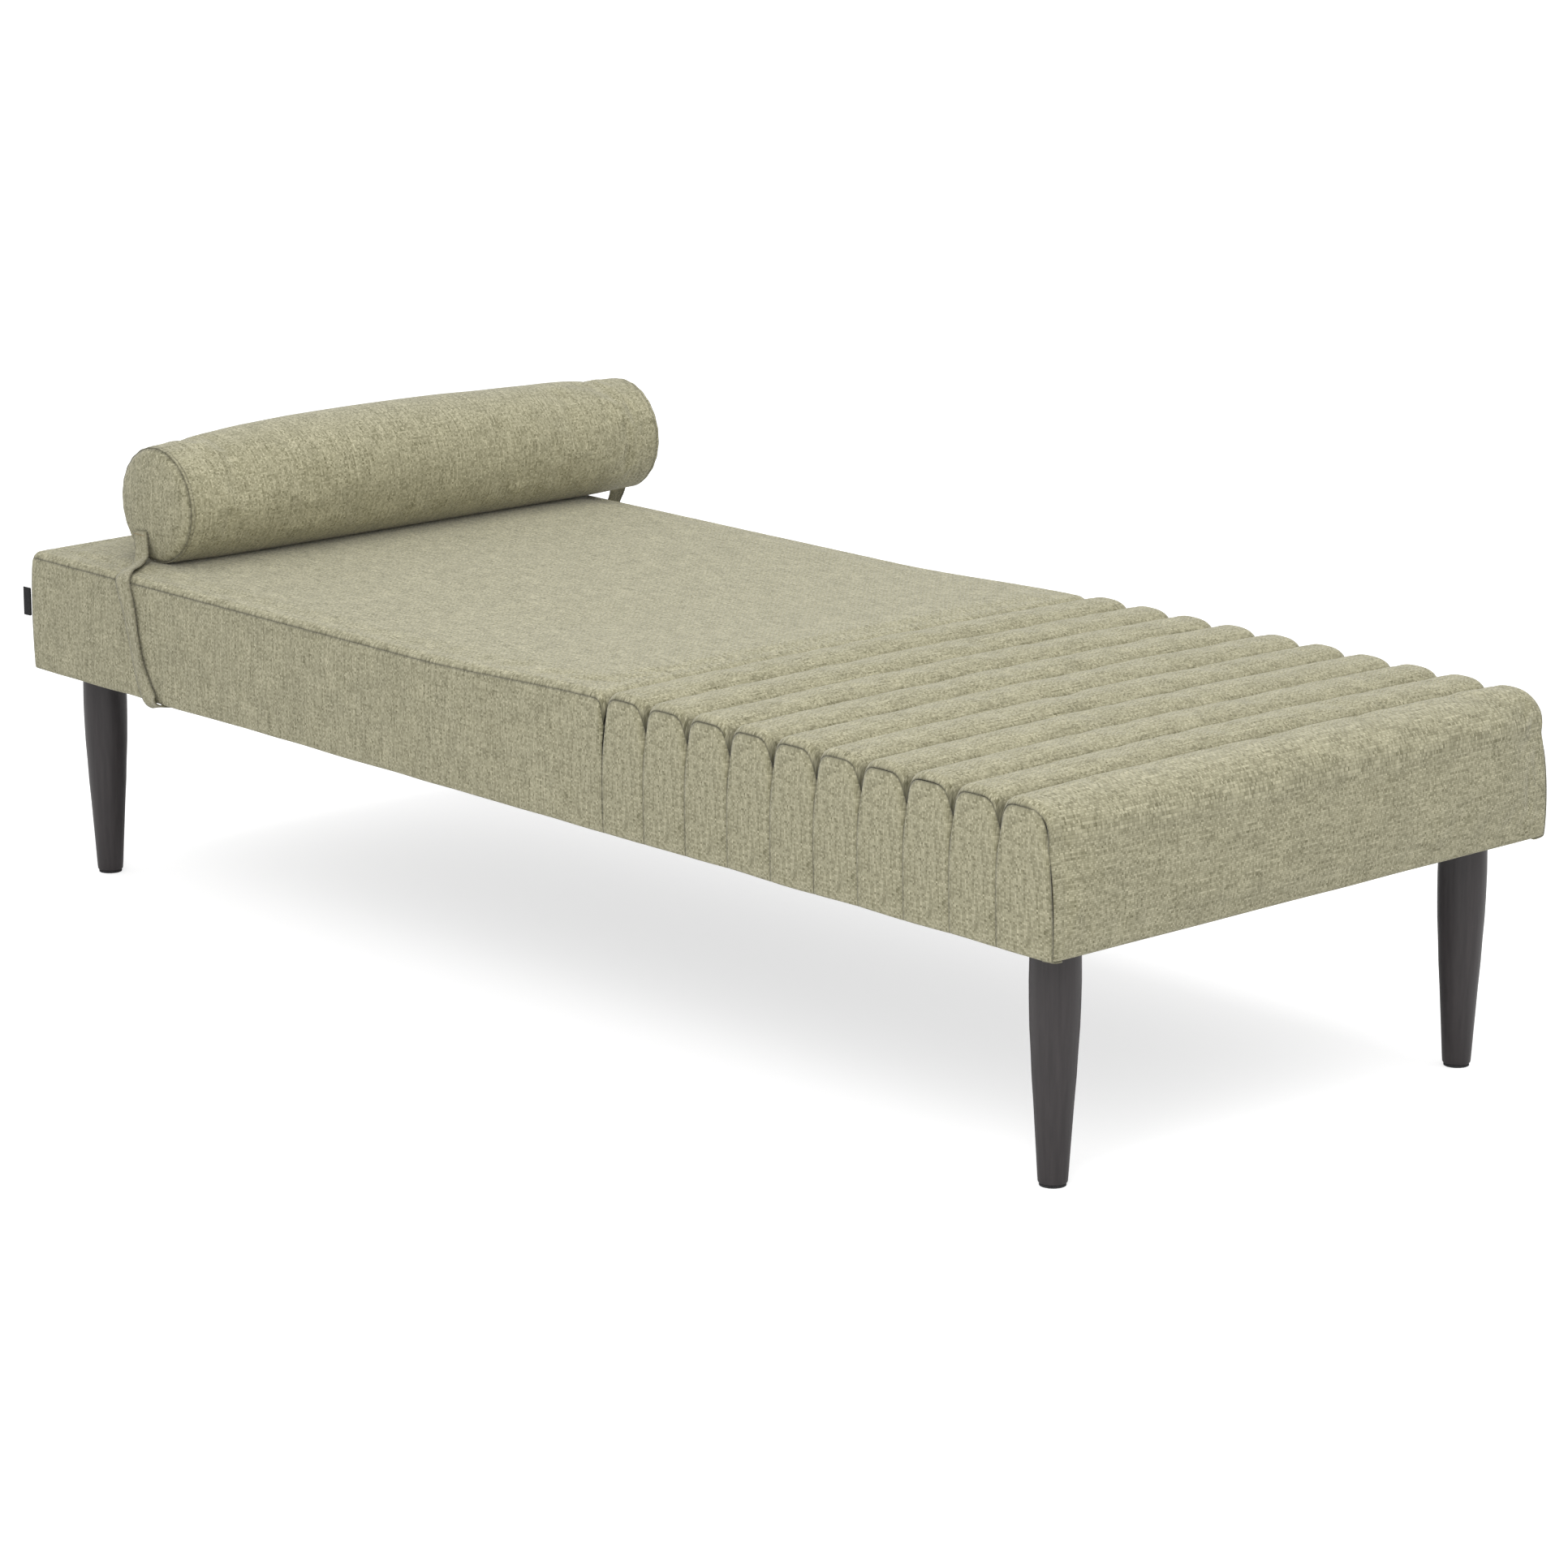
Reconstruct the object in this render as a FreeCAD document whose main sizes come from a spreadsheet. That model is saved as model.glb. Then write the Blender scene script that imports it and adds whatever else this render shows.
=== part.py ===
import FreeCAD, Part

import os
import re
from math import asin, cos, sin, sqrt

import Sketcher
from FreeCAD import Rotation, Vector

# A low upholstered daybed with a channelled foot end, a loose bolster and four turned legs.
# X runs along the length with the foot end at +X, Y across it with the back at +Y, Z up.
# The origin lies on the floor under the middle of the body. Everything is in millimetres.

os.makedirs("parts", exist_ok=True)
doc = FreeCAD.newDocument("Daybed")

# Driving sizes
sizes = {
    "bodyLength": 1900,
    "bodyWidth": 800,
    "standHeight": 276,
    # wooden frame
    "railHeight": 90,
    "railThickness": 22,
    "crossRailHeight": 70,
    "crossRailSpacing": 460,
    "housingDepth": 6,
    "blockLength": 66,
    "blockWidth": 74,
    "blockHeight": 55,
    # turned legs
    "legTopRadius": 28.3,
    "legBellyRadius": 28.75,
    "legFootRadius": 17,
    "legBellyHeight": 235,
    "legTaperHeight": 150,
    "legTaperRadius": 25.9,
    "legFlats": 28,
    "glideHeight": 3,
    "glideRadius": 15,
    "glideFlats": 24,
    "boltRadius": 4,
    "boltLength": 98,
    "boltInLeg": 40,
    "nutBarrelRadius": 5.2,
    "nutFlangeRadius": 12,
    "nutFlangeSides": 6,
    "nutFlangeHeight": 1.6,
    "nutBarrelHeight": 12,
    "boreClearance": 0.05,
    # suspension and padding
    "bandWidth": 60,
    "bandThickness": 1.5,
    "crossBandCount": 11,
    "crossBandPitch": 160,
    "longBandCount": 4,
    "longBandPitch": 160,
    "deckThickness": 0.6,
    "foamThickness": 62.8,
    "channelFoamThickness": 30.4,
    "borderThickness": 8.5,
    # sewn cover
    "fabric": 1.5,
    "coverGap": 0.3,
    "seamAllowance": 1.5,
    "hemWidth": 26,
    "headRound": 10,
    "shoulderWidth": 10,
    "shoulderDrop": 7.7,
    "crownDrop": 2.5,
    # channels across the foot end
    "channelCount": 10,
    "channelPitch": 72.3,
    "footRoll": 14,
    "channelRise": 17.8,
    "channelCrownDrop": 6,
    "channelEndDrop": 8,
    "grooveDrop": 4.2,
    "grooveShoulderDrop": 6,
    "grooveDip": 25,
    "seatRise": 10,
    "seatRiseLength": 350,
    "footTuck": 11,
    "footTuckMiddle": 5,
    "footTuckBelow": 2,
    "footPinchDrop": 29.2,
    # underside and trim
    "dustThickness": 0.8,
    "dustMargin": 18,
    "dustHoleClearance": 0.8,
    "tabLength": 15,
    "tabHeight": 37,
    "tabLevel": 345,
    "tabThickness": 1.2,
    # bolster with its strap
    "bolsterLength": 784,
    "bolsterShift": 58,
    "bolsterPlace": -751,
    "bolsterRimRadius": 78.6,
    "bolsterMiddleRadius": 84.5,
    "bolsterDome": 12,
    "bolsterKneeRadius": 48,
    "bolsterKneeHeight": 8.4,
    "bolsterCrownRadius": 14,
    "bolsterFlats": 40,
    "strapWidth": 28,
    "strapThickness": 1.6,
    "strapLift": 7.8,
    "strapEdgeInset": 8,
    "strapOverhang": 30,
    "strapSlant": 90,
    "strapFoldLead": 6,
    "strapUnderLap": 20,
}

# Levels and places that follow from the driving sizes
levels = {
    "railTop": "standHeight + railHeight",
    "deckTop": "railTop + 2 * bandThickness + deckThickness",
    "seatCrown": "deckTop + foamThickness + coverGap + fabric",
    "channelBase": "deckTop + channelFoamThickness",
    "coverBottom": "standHeight - fabric",
    "dustBottom": "coverBottom - dustThickness",
    "railEnd": "bodyLength / 2 - fabric - borderThickness",
    "railSide": "bodyWidth / 2 - fabric - borderThickness",
    "railInnerEnd": "railEnd - railThickness",
    "railInnerSide": "railSide - railThickness",
    "legX": "railInnerEnd - blockLength / 2",
    "legY": "railInnerSide - blockWidth / 2",
    "firstGroove": "bodyLength / 2 - footRoll - channelCount * channelPitch",
    "bolsterBottom": "seatCrown + coverGap",
    "strapBottom": "dustBottom - coverGap - strapThickness",
    "strapSide": "bodyWidth / 2 + coverGap + strapThickness",
}


def cells(text):
    """Put the sheet's name before each size and level in an expression."""
    def qualify(match):
        word = match.group(0)
        if word in sizes:
            return "Sizes." + word
        return "Levels." + word if word in levels else word

    return re.sub(r"[A-Za-z]\w*", qualify, text)


sheet = doc.addObject("Spreadsheet::Sheet", "Sizes")
for row, (alias, value) in enumerate(sizes.items(), 1):
    sheet.set(f"A{row}", alias)
    sheet.set(f"B{row}", str(value))
    sheet.setAlias(f"B{row}", alias)
doc.recompute()
derived = doc.addObject("Spreadsheet::Sheet", "Levels")
for row, (alias, formula) in enumerate(levels.items(), 1):
    derived.set(f"A{row}", alias)
    derived.set(f"B{row}", "=" + cells(formula).replace("Levels.", ""))
    derived.setAlias(f"B{row}", alias)
doc.recompute()


def read(alias):
    """The value of a size or level, as the sheets hold it."""
    return float((sheet if alias in sizes else derived).get(alias))


size = {alias: read(alias) for alias in list(sizes) + list(levels)}
subparts = []


def number(text):
    """The value of an expression, worked out in a spare cell of the derived sheet."""
    derived.set("D1", "=" + cells(text).replace("Levels.", ""))
    derived.recompute()
    return float(derived.get("D1"))


def name_part(thing, label):
    """Give an object the name under which it is kept."""
    thing.Label = label
    subparts.append(thing)
    return thing


def bind(thing, **expressions):
    """Tie properties of an object to expressions on the sheets."""
    for key, text in expressions.items():
        thing.setExpression(key.replace("__", "."), cells(text))
    return thing


def place(thing, x="0", y="0", z="0"):
    """Tie the place of an object to expressions on the sheets."""
    return bind(thing, Placement__Base__x=x, Placement__Base__y=y, Placement__Base__z=z)


def make_box(name, low, high):
    """A board or strip between two corners, each given as three expressions."""
    board = doc.addObject("Part::Box", name)
    spans = [f"({b}) - ({a})" for a, b in zip(low, high)]
    bind(board, Length=spans[0], Width=spans[1], Height=spans[2])
    return place(board, *low)


def make_cylinder(name, radius, length, x, y, z):
    """An upright rod or disc whose lower end is at z."""
    rod = doc.addObject("Part::Cylinder", name)
    bind(rod, Radius=radius, Height=length)
    return place(rod, x, y, z)


def make_prism(name, radius, length, sides, x, y, z):
    """An upright prism whose lower end is at z."""
    prism = doc.addObject("Part::Prism", name)
    bind(prism, Circumradius=radius, Height=length, Polygon=sides)
    return place(prism, x, y, z)


def make_ring(name, radius, x, y, z, upright=False, flats=""):
    """A circle or many-sided ring that a loft runs through, level unless it stands across Y."""
    if flats:
        ring = doc.addObject("Part::RegularPolygon", name)
        bind(ring, Circumradius=radius, Polygon=flats)
    else:
        ring = doc.addObject("Part::Circle", name)
        bind(ring, Radius=radius)
    if upright:
        ring.Placement = FreeCAD.Placement(Vector(0, 0, 0), Rotation(Vector(1, 0, 0), 90))
    return place(ring, x, y, z)


def make_round(name, rings):
    """A solid with straight sides from ring to ring."""
    solid = doc.addObject("Part::Loft", name)
    solid.Sections = rings
    solid.Solid = True
    solid.Ruled = True
    solid.Linearize = True
    return solid


def make_cut(name, base, tool):
    """One object less another."""
    cut = doc.addObject("Part::Cut", name)
    cut.Base = base
    cut.Tool = tool
    return cut


def make_group(name, members):
    """Several separate solids kept as one node."""
    group = doc.addObject("Part::Compound", name)
    group.Links = members
    return name_part(group, name)


def new_body(name):
    """An empty body."""
    body = doc.addObject("PartDesign::Body", name)
    body.Label = name
    return body


def new_sketch(body, role, name):
    """A sketch on one of the origin planes of its own body."""
    sketch = body.newObject("Sketcher::SketchObject", name)
    plane = [f for f in body.Origin.OriginFeatures if f.Role == role][0]
    sketch.AttachmentSupport = [(plane, "")]
    sketch.MapMode = "FlatFace"
    return sketch


def pin_point(sketch, line, end, u, v):
    """Hold one end of a line at two expressions from the sketch's origin."""
    for kind, text in (("DistanceX", u), ("DistanceY", v)):
        row = sketch.addConstraint(Sketcher.Constraint(kind, -1, 1, line, end, number(text)))
        sketch.setExpression(f"Constraints[{row}]", cells(text))


def draw_rectangle(sketch, low, high):
    """A rectangle between two corners given as pairs of expressions."""
    corners = [(0, 0), (9, 0), (9, 9), (0, 9)]
    first = sketch.GeometryCount
    for k in range(4):
        a, b = corners[k], corners[(k + 1) % 4]
        sketch.addGeometry(Part.LineSegment(Vector(*a, 0), Vector(*b, 0)), False)
    for k in range(4):
        sketch.addConstraint(Sketcher.Constraint("Coincident", first + k, 2, first + (k + 1) % 4, 1))
        kind = "Horizontal" if k % 2 == 0 else "Vertical"
        sketch.addConstraint(Sketcher.Constraint(kind, first + k))
    pin_point(sketch, first, 1, *low)
    pin_point(sketch, first + 1, 2, *high)


def add_pad(body, sketch, name, length, backwards=False):
    """A board of some thickness from a sketch."""
    pad = body.newObject("PartDesign::Pad", name)
    pad.Profile = sketch
    pad.Reversed = backwards
    bind(pad, Length=length)
    return pad


def add_pocket(body, sketch, name, depth, backwards=False):
    """A recess from a sketch, which has to take something off the body."""
    doc.recompute()
    before = body.Shape.Volume
    pocket = body.newObject("PartDesign::Pocket", name)
    pocket.Profile = sketch
    pocket.Reversed = backwards
    bind(pocket, Length=depth)
    doc.recompute()
    if body.Shape.Volume >= before:
        raise ValueError(f"{name} takes nothing off {body.Label}")
    return pocket


# Wooden frame: two long rails, two end rails and three cross rails let into housings
for side, sign in (("front", "-"), ("back", "")):
    rail = name_part(new_body(f"side_rail_{side}"), f"side_rail_{side}")
    outline = new_sketch(rail, "XZ_Plane", f"side_rail_{side}_outline")
    draw_rectangle(outline, ("-railEnd", "standHeight"), ("railEnd", "railTop"))
    # A sketch on the XZ plane pads towards -Y, so the back rail is padded the other way.
    add_pad(rail, outline, f"side_rail_{side}_board", "railThickness", side == "back")
    housings = new_sketch(rail, "XZ_Plane", f"side_rail_{side}_housings")
    for step in (-1, 0, 1):
        low = f"{step} * crossRailSpacing - railThickness / 2"
        high = f"{step} * crossRailSpacing + railThickness / 2"
        top = "standHeight + crossRailHeight"
        draw_rectangle(housings, (low, "standHeight"), (high, top))
    add_pocket(rail, housings, f"side_rail_{side}_cut", "housingDepth", side == "front")
    place(rail, y=f"{sign}railInnerSide")

for end, low, high in (
    ("head", "-railEnd", "-railInnerEnd"),
    ("foot", "railInnerEnd", "railEnd"),
):
    board = make_box(
        f"{end}_rail",
        (low, "-railInnerSide", "standHeight"),
        (high, "railInnerSide", "railTop"),
    )
    name_part(board, f"{end}_rail")

for place_name, step in (("head", -1), ("middle", 0), ("foot", 1)):
    board = make_box(
        f"cross_rail_{place_name}",
        (
            f"{step} * crossRailSpacing - railThickness / 2",
            "-railInnerSide - housingDepth",
            "standHeight",
        ),
        (
            f"{step} * crossRailSpacing + railThickness / 2",
            "railInnerSide + housingDepth",
            "standHeight + crossRailHeight",
        ),
    )
    name_part(board, f"cross_rail_{place_name}")

# Corner blocks, legs and glides; each leg screws up into its block
corners = [
    ("head_front", "-", "-"),
    ("head_back", "-", ""),
    ("foot_front", "", "-"),
    ("foot_back", "", ""),
]
for corner, x_sign, y_sign in corners:
    low_x, high_x = ("-railInnerEnd", "-legX + blockLength / 2")
    if not x_sign:
        low_x, high_x = ("legX - blockLength / 2", "railInnerEnd")
    low_y, high_y = ("-railInnerSide", "-legY + blockWidth / 2")
    if not y_sign:
        low_y, high_y = ("legY - blockWidth / 2", "railInnerSide")
    wood = make_box(
        f"block_wood_{corner}",
        (low_x, low_y, "standHeight"),
        (high_x, high_y, "standHeight + blockHeight"),
    )
    bore = make_cylinder(
        f"block_bore_{corner}",
        "nutBarrelRadius + boreClearance",
        "blockHeight",
        f"{x_sign}legX",
        f"{y_sign}legY",
        "standHeight",
    )
    name_part(make_cut(f"corner_block_{corner}", wood, bore), f"corner_block_{corner}")

    # The leg tapers from a soft belly below its top to a slim foot, and is bored for its bolt
    spot = (f"{x_sign}legX", f"{y_sign}legY")
    sections = [
        make_ring(f"leg_{part_name}_{corner}", radius, *spot, level, flats="legFlats")
        for part_name, radius, level in (
            ("foot", "legFootRadius", "glideHeight"),
            ("taper", "legTaperRadius", "legTaperHeight"),
            ("belly", "legBellyRadius", "legBellyHeight"),
            ("top", "legTopRadius", "standHeight"),
        )
    ]
    turned = make_round(f"leg_wood_{corner}", sections)
    bolt_hole = make_cylinder(
        f"leg_bore_{corner}",
        "boltRadius + boreClearance",
        "boltInLeg",
        *spot,
        "standHeight - boltInLeg",
    )
    name_part(make_cut(f"leg_{corner}", turned, bolt_hole), f"leg_{corner}")

    glide = make_prism(
        f"glide_{corner}", "glideRadius", "glideHeight", "glideFlats", *spot, "0"
    )
    name_part(glide, f"glide_{corner}")

bolts = []
nuts = []
for corner, x_sign, y_sign in corners:
    spot = (f"{x_sign}legX", f"{y_sign}legY")
    bolts.append(
        make_cylinder(f"bolt_{corner}", "boltRadius", "boltLength", *spot, "standHeight - boltInLeg")
    )
    barrel = make_cylinder(
        f"nut_barrel_{corner}",
        "nutBarrelRadius",
        "nutBarrelHeight",
        *spot,
        "standHeight + blockHeight - nutBarrelHeight",
    )
    flange = make_prism(
        f"nut_flange_{corner}",
        "nutFlangeRadius",
        "nutFlangeHeight",
        "nutFlangeSides",
        *spot,
        "standHeight + blockHeight",
    )
    blank = doc.addObject("Part::Fuse", f"nut_blank_{corner}")
    blank.Base = barrel
    blank.Tool = flange
    thread = make_cylinder(
        f"nut_thread_{corner}",
        "boltRadius + boreClearance",
        "nutBarrelHeight + nutFlangeHeight",
        *spot,
        "standHeight + blockHeight - nutBarrelHeight",
    )
    nuts.append(make_cut(f"nut_{corner}", blank, thread))
make_group("hanger_bolts", bolts)
make_group("tee_nuts", nuts)

# Elastic bands across and along the frame, with a deck cloth over them
cross_bands = []
for k in range(int(size["crossBandCount"])):
    middle = f"({k} - (crossBandCount - 1) / 2) * crossBandPitch"
    cross_bands.append(
        make_box(
            f"cross_band_{k + 1}",
            (f"{middle} - bandWidth / 2", "-railSide", "railTop"),
            (f"{middle} + bandWidth / 2", "railSide", "railTop + bandThickness"),
        )
    )
make_group("cross_bands", cross_bands)
long_bands = []
for k in range(int(size["longBandCount"])):
    middle = f"({k} - (longBandCount - 1) / 2) * longBandPitch"
    long_bands.append(
        make_box(
            f"long_band_{k + 1}",
            ("-railEnd", f"{middle} - bandWidth / 2", "railTop + bandThickness"),
            ("railEnd", f"{middle} + bandWidth / 2", "railTop + 2 * bandThickness"),
        )
    )
make_group("long_bands", long_bands)
deck = make_box(
    "deck_cloth",
    ("-railEnd", "-railSide", "railTop + 2 * bandThickness"),
    ("railEnd", "railSide", "deckTop"),
)
name_part(deck, "deck_cloth")

# Foam strips glued to the sides and the head end of the frame
borders = {
    "front": (
        ("-railEnd", "-bodyWidth / 2 + fabric"),
        ("railEnd", "-railSide"),
    ),
    "back": (
        ("-railEnd", "railSide"),
        ("railEnd", "bodyWidth / 2 - fabric"),
    ),
    "head": (
        ("-bodyLength / 2 + fabric", "-bodyWidth / 2 + fabric"),
        ("-railEnd", "bodyWidth / 2 - fabric"),
    ),
}
for side, (low, high) in borders.items():
    strip = make_box(f"border_foam_{side}", (*low, "standHeight"), (*high, "deckTop"))
    name_part(strip, f"border_foam_{side}")

# Underside: the turned-in hem of the cover, and the dust cover with holes for the legs
hem_outer = make_box(
    "hem_outer",
    ("-bodyLength / 2 + fabric", "-bodyWidth / 2 + fabric", "coverBottom"),
    ("bodyLength / 2 - footTuckBelow - fabric", "bodyWidth / 2 - fabric", "standHeight"),
)
hem_inner = make_box(
    "hem_inner",
    ("-bodyLength / 2 + hemWidth", "-bodyWidth / 2 + hemWidth", "coverBottom"),
    ("bodyLength / 2 - hemWidth", "bodyWidth / 2 - hemWidth", "standHeight"),
)
name_part(make_cut("cover_hem", hem_outer, hem_inner), "cover_hem")

dust_sheet = make_box(
    "dust_sheet",
    ("-bodyLength / 2 + dustMargin", "-bodyWidth / 2 + dustMargin", "dustBottom"),
    ("bodyLength / 2 - dustMargin", "bodyWidth / 2 - dustMargin", "coverBottom"),
)
leg_holes = doc.addObject("Part::Compound", "leg_holes")
leg_holes.Links = [
    make_cylinder(
        f"leg_hole_{corner}",
        "legBellyRadius + dustHoleClearance",
        "dustThickness",
        f"{x_sign}legX",
        f"{y_sign}legY",
        "dustBottom",
    )
    for corner, x_sign, y_sign in corners
]
name_part(make_cut("dust_cover", dust_sheet, leg_holes), "dust_cover")

# A bare folded tab sewn into the front corner seam at the head end
tab = make_box(
    "corner_tab",
    ("-bodyLength / 2 - tabLength", "-bodyWidth / 2", "tabLevel"),
    ("-bodyLength / 2", "-bodyWidth / 2 + tabThickness", "tabLevel + tabHeight"),
)
name_part(tab, "corner_tab")


class Outline:
    """A run of lines and arcs in a plane of constant y; a plain one has chords for its bows."""

    def __init__(self, y, x, z, plain=False):
        self.y = y
        self.edges = []
        self.spot = (x, z)
        self.plain = plain

    def point(self, x, z):
        return Vector(x, self.y, z)

    def line(self, x, z):
        self.edges.append(Part.LineSegment(self.point(*self.spot), self.point(x, z)).toShape())
        self.spot = (x, z)

    def arc(self, middle, x, z):
        curve = Part.Arc(self.point(*self.spot), self.point(*middle), self.point(x, z))
        self.edges.append(curve.toShape())
        self.spot = (x, z)

    def bow(self, middle, x, z):
        """An arc, or the chords that follow it from inside."""
        if not self.plain:
            self.arc(middle, x, z)
            return
        curve = Part.Arc(self.point(*self.spot), self.point(*middle), self.point(x, z))
        for spot in curve.discretize(chord_count + 1)[1:]:
            self.line(spot.x, spot.z)

    def falling_bow(self, x, z):
        """A quarter-like arc that leaves level and ends lower down."""
        x0, z0 = self.spot
        dx, dz = x - x0, z0 - z
        radius = (dx * dx + dz * dz) / (2 * dz)
        half = asin(dx / radius) / 2
        self.bow((x0 + radius * sin(half), z0 - radius * (1 - cos(half))), x, z)

    def rising_bow(self, x, z):
        """A quarter-like arc that arrives level, higher up."""
        x0, z0 = self.spot
        dx, dz = x - x0, z - z0
        radius = (dx * dx + dz * dz) / (2 * dz)
        half = asin(dx / radius) / 2
        self.bow((x - radius * sin(half), z - radius * (1 - cos(half))), x, z)


# Heights of the padded top at some distance in from the long sides
half_width = size["bodyWidth"] / 2
head_x = -size["bodyLength"] / 2
foot_x = size["bodyLength"] / 2
grooves = [
    size["firstGroove"] + k * size["channelPitch"] for k in range(int(size["channelCount"]))
]
fabric = size["fabric"]
lining = fabric + size["coverGap"]
chord_count = 2


def between(inset, knots):
    """Read a value off straight stretches between (inset, value) knots."""
    for (d0, v0), (d1, v1) in zip(knots, knots[1:]):
        if inset <= d1:
            return v0 + (v1 - v0) * (inset - d0) / (d1 - d0)
    return knots[-1][1]


def seat_level(inset):
    """The top of the flat head part of the cover."""
    shoulder = size["seatCrown"] - size["crownDrop"]
    return between(
        inset,
        [
            (0, shoulder - size["shoulderDrop"]),
            (size["shoulderWidth"], shoulder),
            (half_width, size["seatCrown"]),
        ],
    )


def crest_level(inset):
    """The top of a channel."""
    crest = size["seatCrown"] + size["channelRise"]
    shoulder = crest - size["channelCrownDrop"]
    return between(
        inset,
        [
            (0, shoulder - size["channelEndDrop"]),
            (size["shoulderWidth"], shoulder),
            (half_width, crest),
        ],
    )


def groove_level(inset):
    """The bottom of a groove between channels; it dips towards the sides."""
    middle = size["seatCrown"] - size["grooveDrop"]
    return between(
        inset,
        [
            (0, middle - size["grooveDip"]),
            (size["shoulderWidth"], middle - size["grooveShoulderDrop"]),
            (half_width, middle),
        ],
    )


def foot_tuck(inset):
    """How far the foot end is drawn in below its last channel."""
    return between(inset, [(0, size["footTuck"]), (half_width, size["footTuckMiddle"])])


pinch_level = size["seatCrown"] - size["footPinchDrop"]


def stations(trim):
    """Distances in from the side at which the padded forms are drawn, from front to back."""
    front = [(d - half_width, d) for d in (trim, size["shoulderWidth"])]
    return front + [(0, half_width)] + [(-y, d) for y, d in reversed(front)]


def head_stretch(path, inset, depth):
    """From the head seam over the rounded edge and along to the first groove."""
    level = seat_level(inset)
    turn = size["headRound"]
    path.rising_bow(head_x + turn, level - depth)
    path.line(size["firstGroove"] - size["seatRiseLength"], level - depth)
    brow = size["firstGroove"] - size["channelPitch"] / 2
    path.line(brow, level + size["seatRise"] - depth)


def channel(path, inset, depth, seam, k):
    """Over one channel and down into the next groove."""
    groove = groove_level(inset) - depth
    crest = crest_level(inset) - depth
    path.rising_bow(grooves[k] + size["channelPitch"] / 2, crest)
    path.falling_bow(grooves[k] + size["channelPitch"] - seam, groove)


def foot_stretch(path, inset, depth):
    """Up the last channel and down over the foot end to the pinch."""
    path.rising_bow(grooves[-1] + size["channelPitch"] / 2, crest_level(inset) - depth)
    path.falling_bow(foot_x - foot_tuck(inset) - depth, pinch_level)


def foot_knots(inset, depth):
    """Top, middle and bottom of the slightly bulging foot end."""
    tuck = foot_tuck(inset)
    middle = (pinch_level + size["coverBottom"]) / 2
    return [
        (foot_x - tuck - depth, pinch_level),
        (foot_x - tuck / 3 - depth, middle),
        (foot_x - size["footTuckBelow"] - depth, size["coverBottom"]),
    ]


def foot_face(path, inset, depth):
    """Down the foot end to the hem."""
    middle, bottom = foot_knots(inset, depth)[1:]
    path.arc(middle, *bottom)


def foot_reach(inset, depth, level):
    """How far the foot end reaches along X at some level."""
    bow = Part.Circle(*[Vector(x, 0, z) for x, z in foot_knots(inset, depth)])
    rise = level - bow.Center.z
    return bow.Center.x + sqrt(bow.Radius**2 - rise**2)


def join(outline, inner=None):
    """A closed wire from one outline, or from an outer one and an inner one walked back."""
    edges = list(outline.edges)
    start, end = edges[0].firstVertex(True).Point, edges[-1].lastVertex(True).Point
    if inner:
        inner_start = inner.edges[0].firstVertex(True).Point
        inner_end = inner.edges[-1].lastVertex(True).Point
        edges.append(Part.LineSegment(end, inner_end).toShape())
        edges += [edge.reversed() for edge in reversed(inner.edges)]
        edges.append(Part.LineSegment(inner_start, start).toShape())
    else:
        edges.append(Part.LineSegment(end, start).toShape())
    return Part.Wire(edges)


def add_form(name, shape):
    """A sewn or filled piece whose shape is drawn directly."""
    form = doc.addObject("Part::Feature", name)
    form.Shape = shape
    return name_part(form, name)


def loft(wires):
    """A closed solid ruled from wire to wire."""
    return Part.makeLoft(wires, True, True)


def seat_outline(y, inset, depth, seam):
    """The head part's top, from the head seam to the bottom of the first groove."""
    level = seat_level(inset)
    path = Outline(y, head_x + depth, level - size["headRound"])
    head_stretch(path, inset, depth)
    path.falling_bow(size["firstGroove"] - seam, groove_level(inset) - depth)
    return path


def channel_outline(y, inset, depth, seam, plain=False):
    """All the channels, from the first groove over the foot edge and down the foot end."""
    groove = groove_level(inset) - depth
    path = Outline(y, size["firstGroove"] + seam, groove, plain)
    for k, start in enumerate(grooves[:-1]):
        channel(path, inset, depth, seam, k)
        if seam:
            path.line(start + size["channelPitch"] + seam, groove)
    foot_stretch(path, inset, depth)
    foot_face(path, inset, depth)
    return path


# Sewn cover: top panel, channelled panel with the foot end, and the side pieces
allowance = size["seamAllowance"]
cover_bottom = size["coverBottom"]
seat_wires = []
channel_wires = []
for y, inset in stations(0):
    inner = seat_outline(y, inset, fabric, allowance)
    inner.line(size["firstGroove"], inner.spot[1])
    seat_wires.append(join(seat_outline(y, inset, 0, 0), inner))
    outer = channel_outline(y, inset, 0, 0)
    inner = Outline(y, size["firstGroove"], groove_level(inset) - fabric)
    inner.line(size["firstGroove"] + allowance, inner.spot[1])
    inner.edges += channel_outline(y, inset, fabric, allowance, plain=True).edges
    channel_wires.append(join(outer, inner))
add_form("seat_panel", loft(seat_wires))
add_form("channel_panel", loft(channel_wires))


def side_piece(path):
    """A flat piece of cover from an outline drawn at the front side."""
    face = Part.Face(join(path))
    return face.extrude(Vector(0, fabric, 0))


def mirror_back(shape):
    """The same piece on the back side."""
    return shape.mirror(Vector(0, 0, 0), Vector(0, 1, 0))


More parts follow.
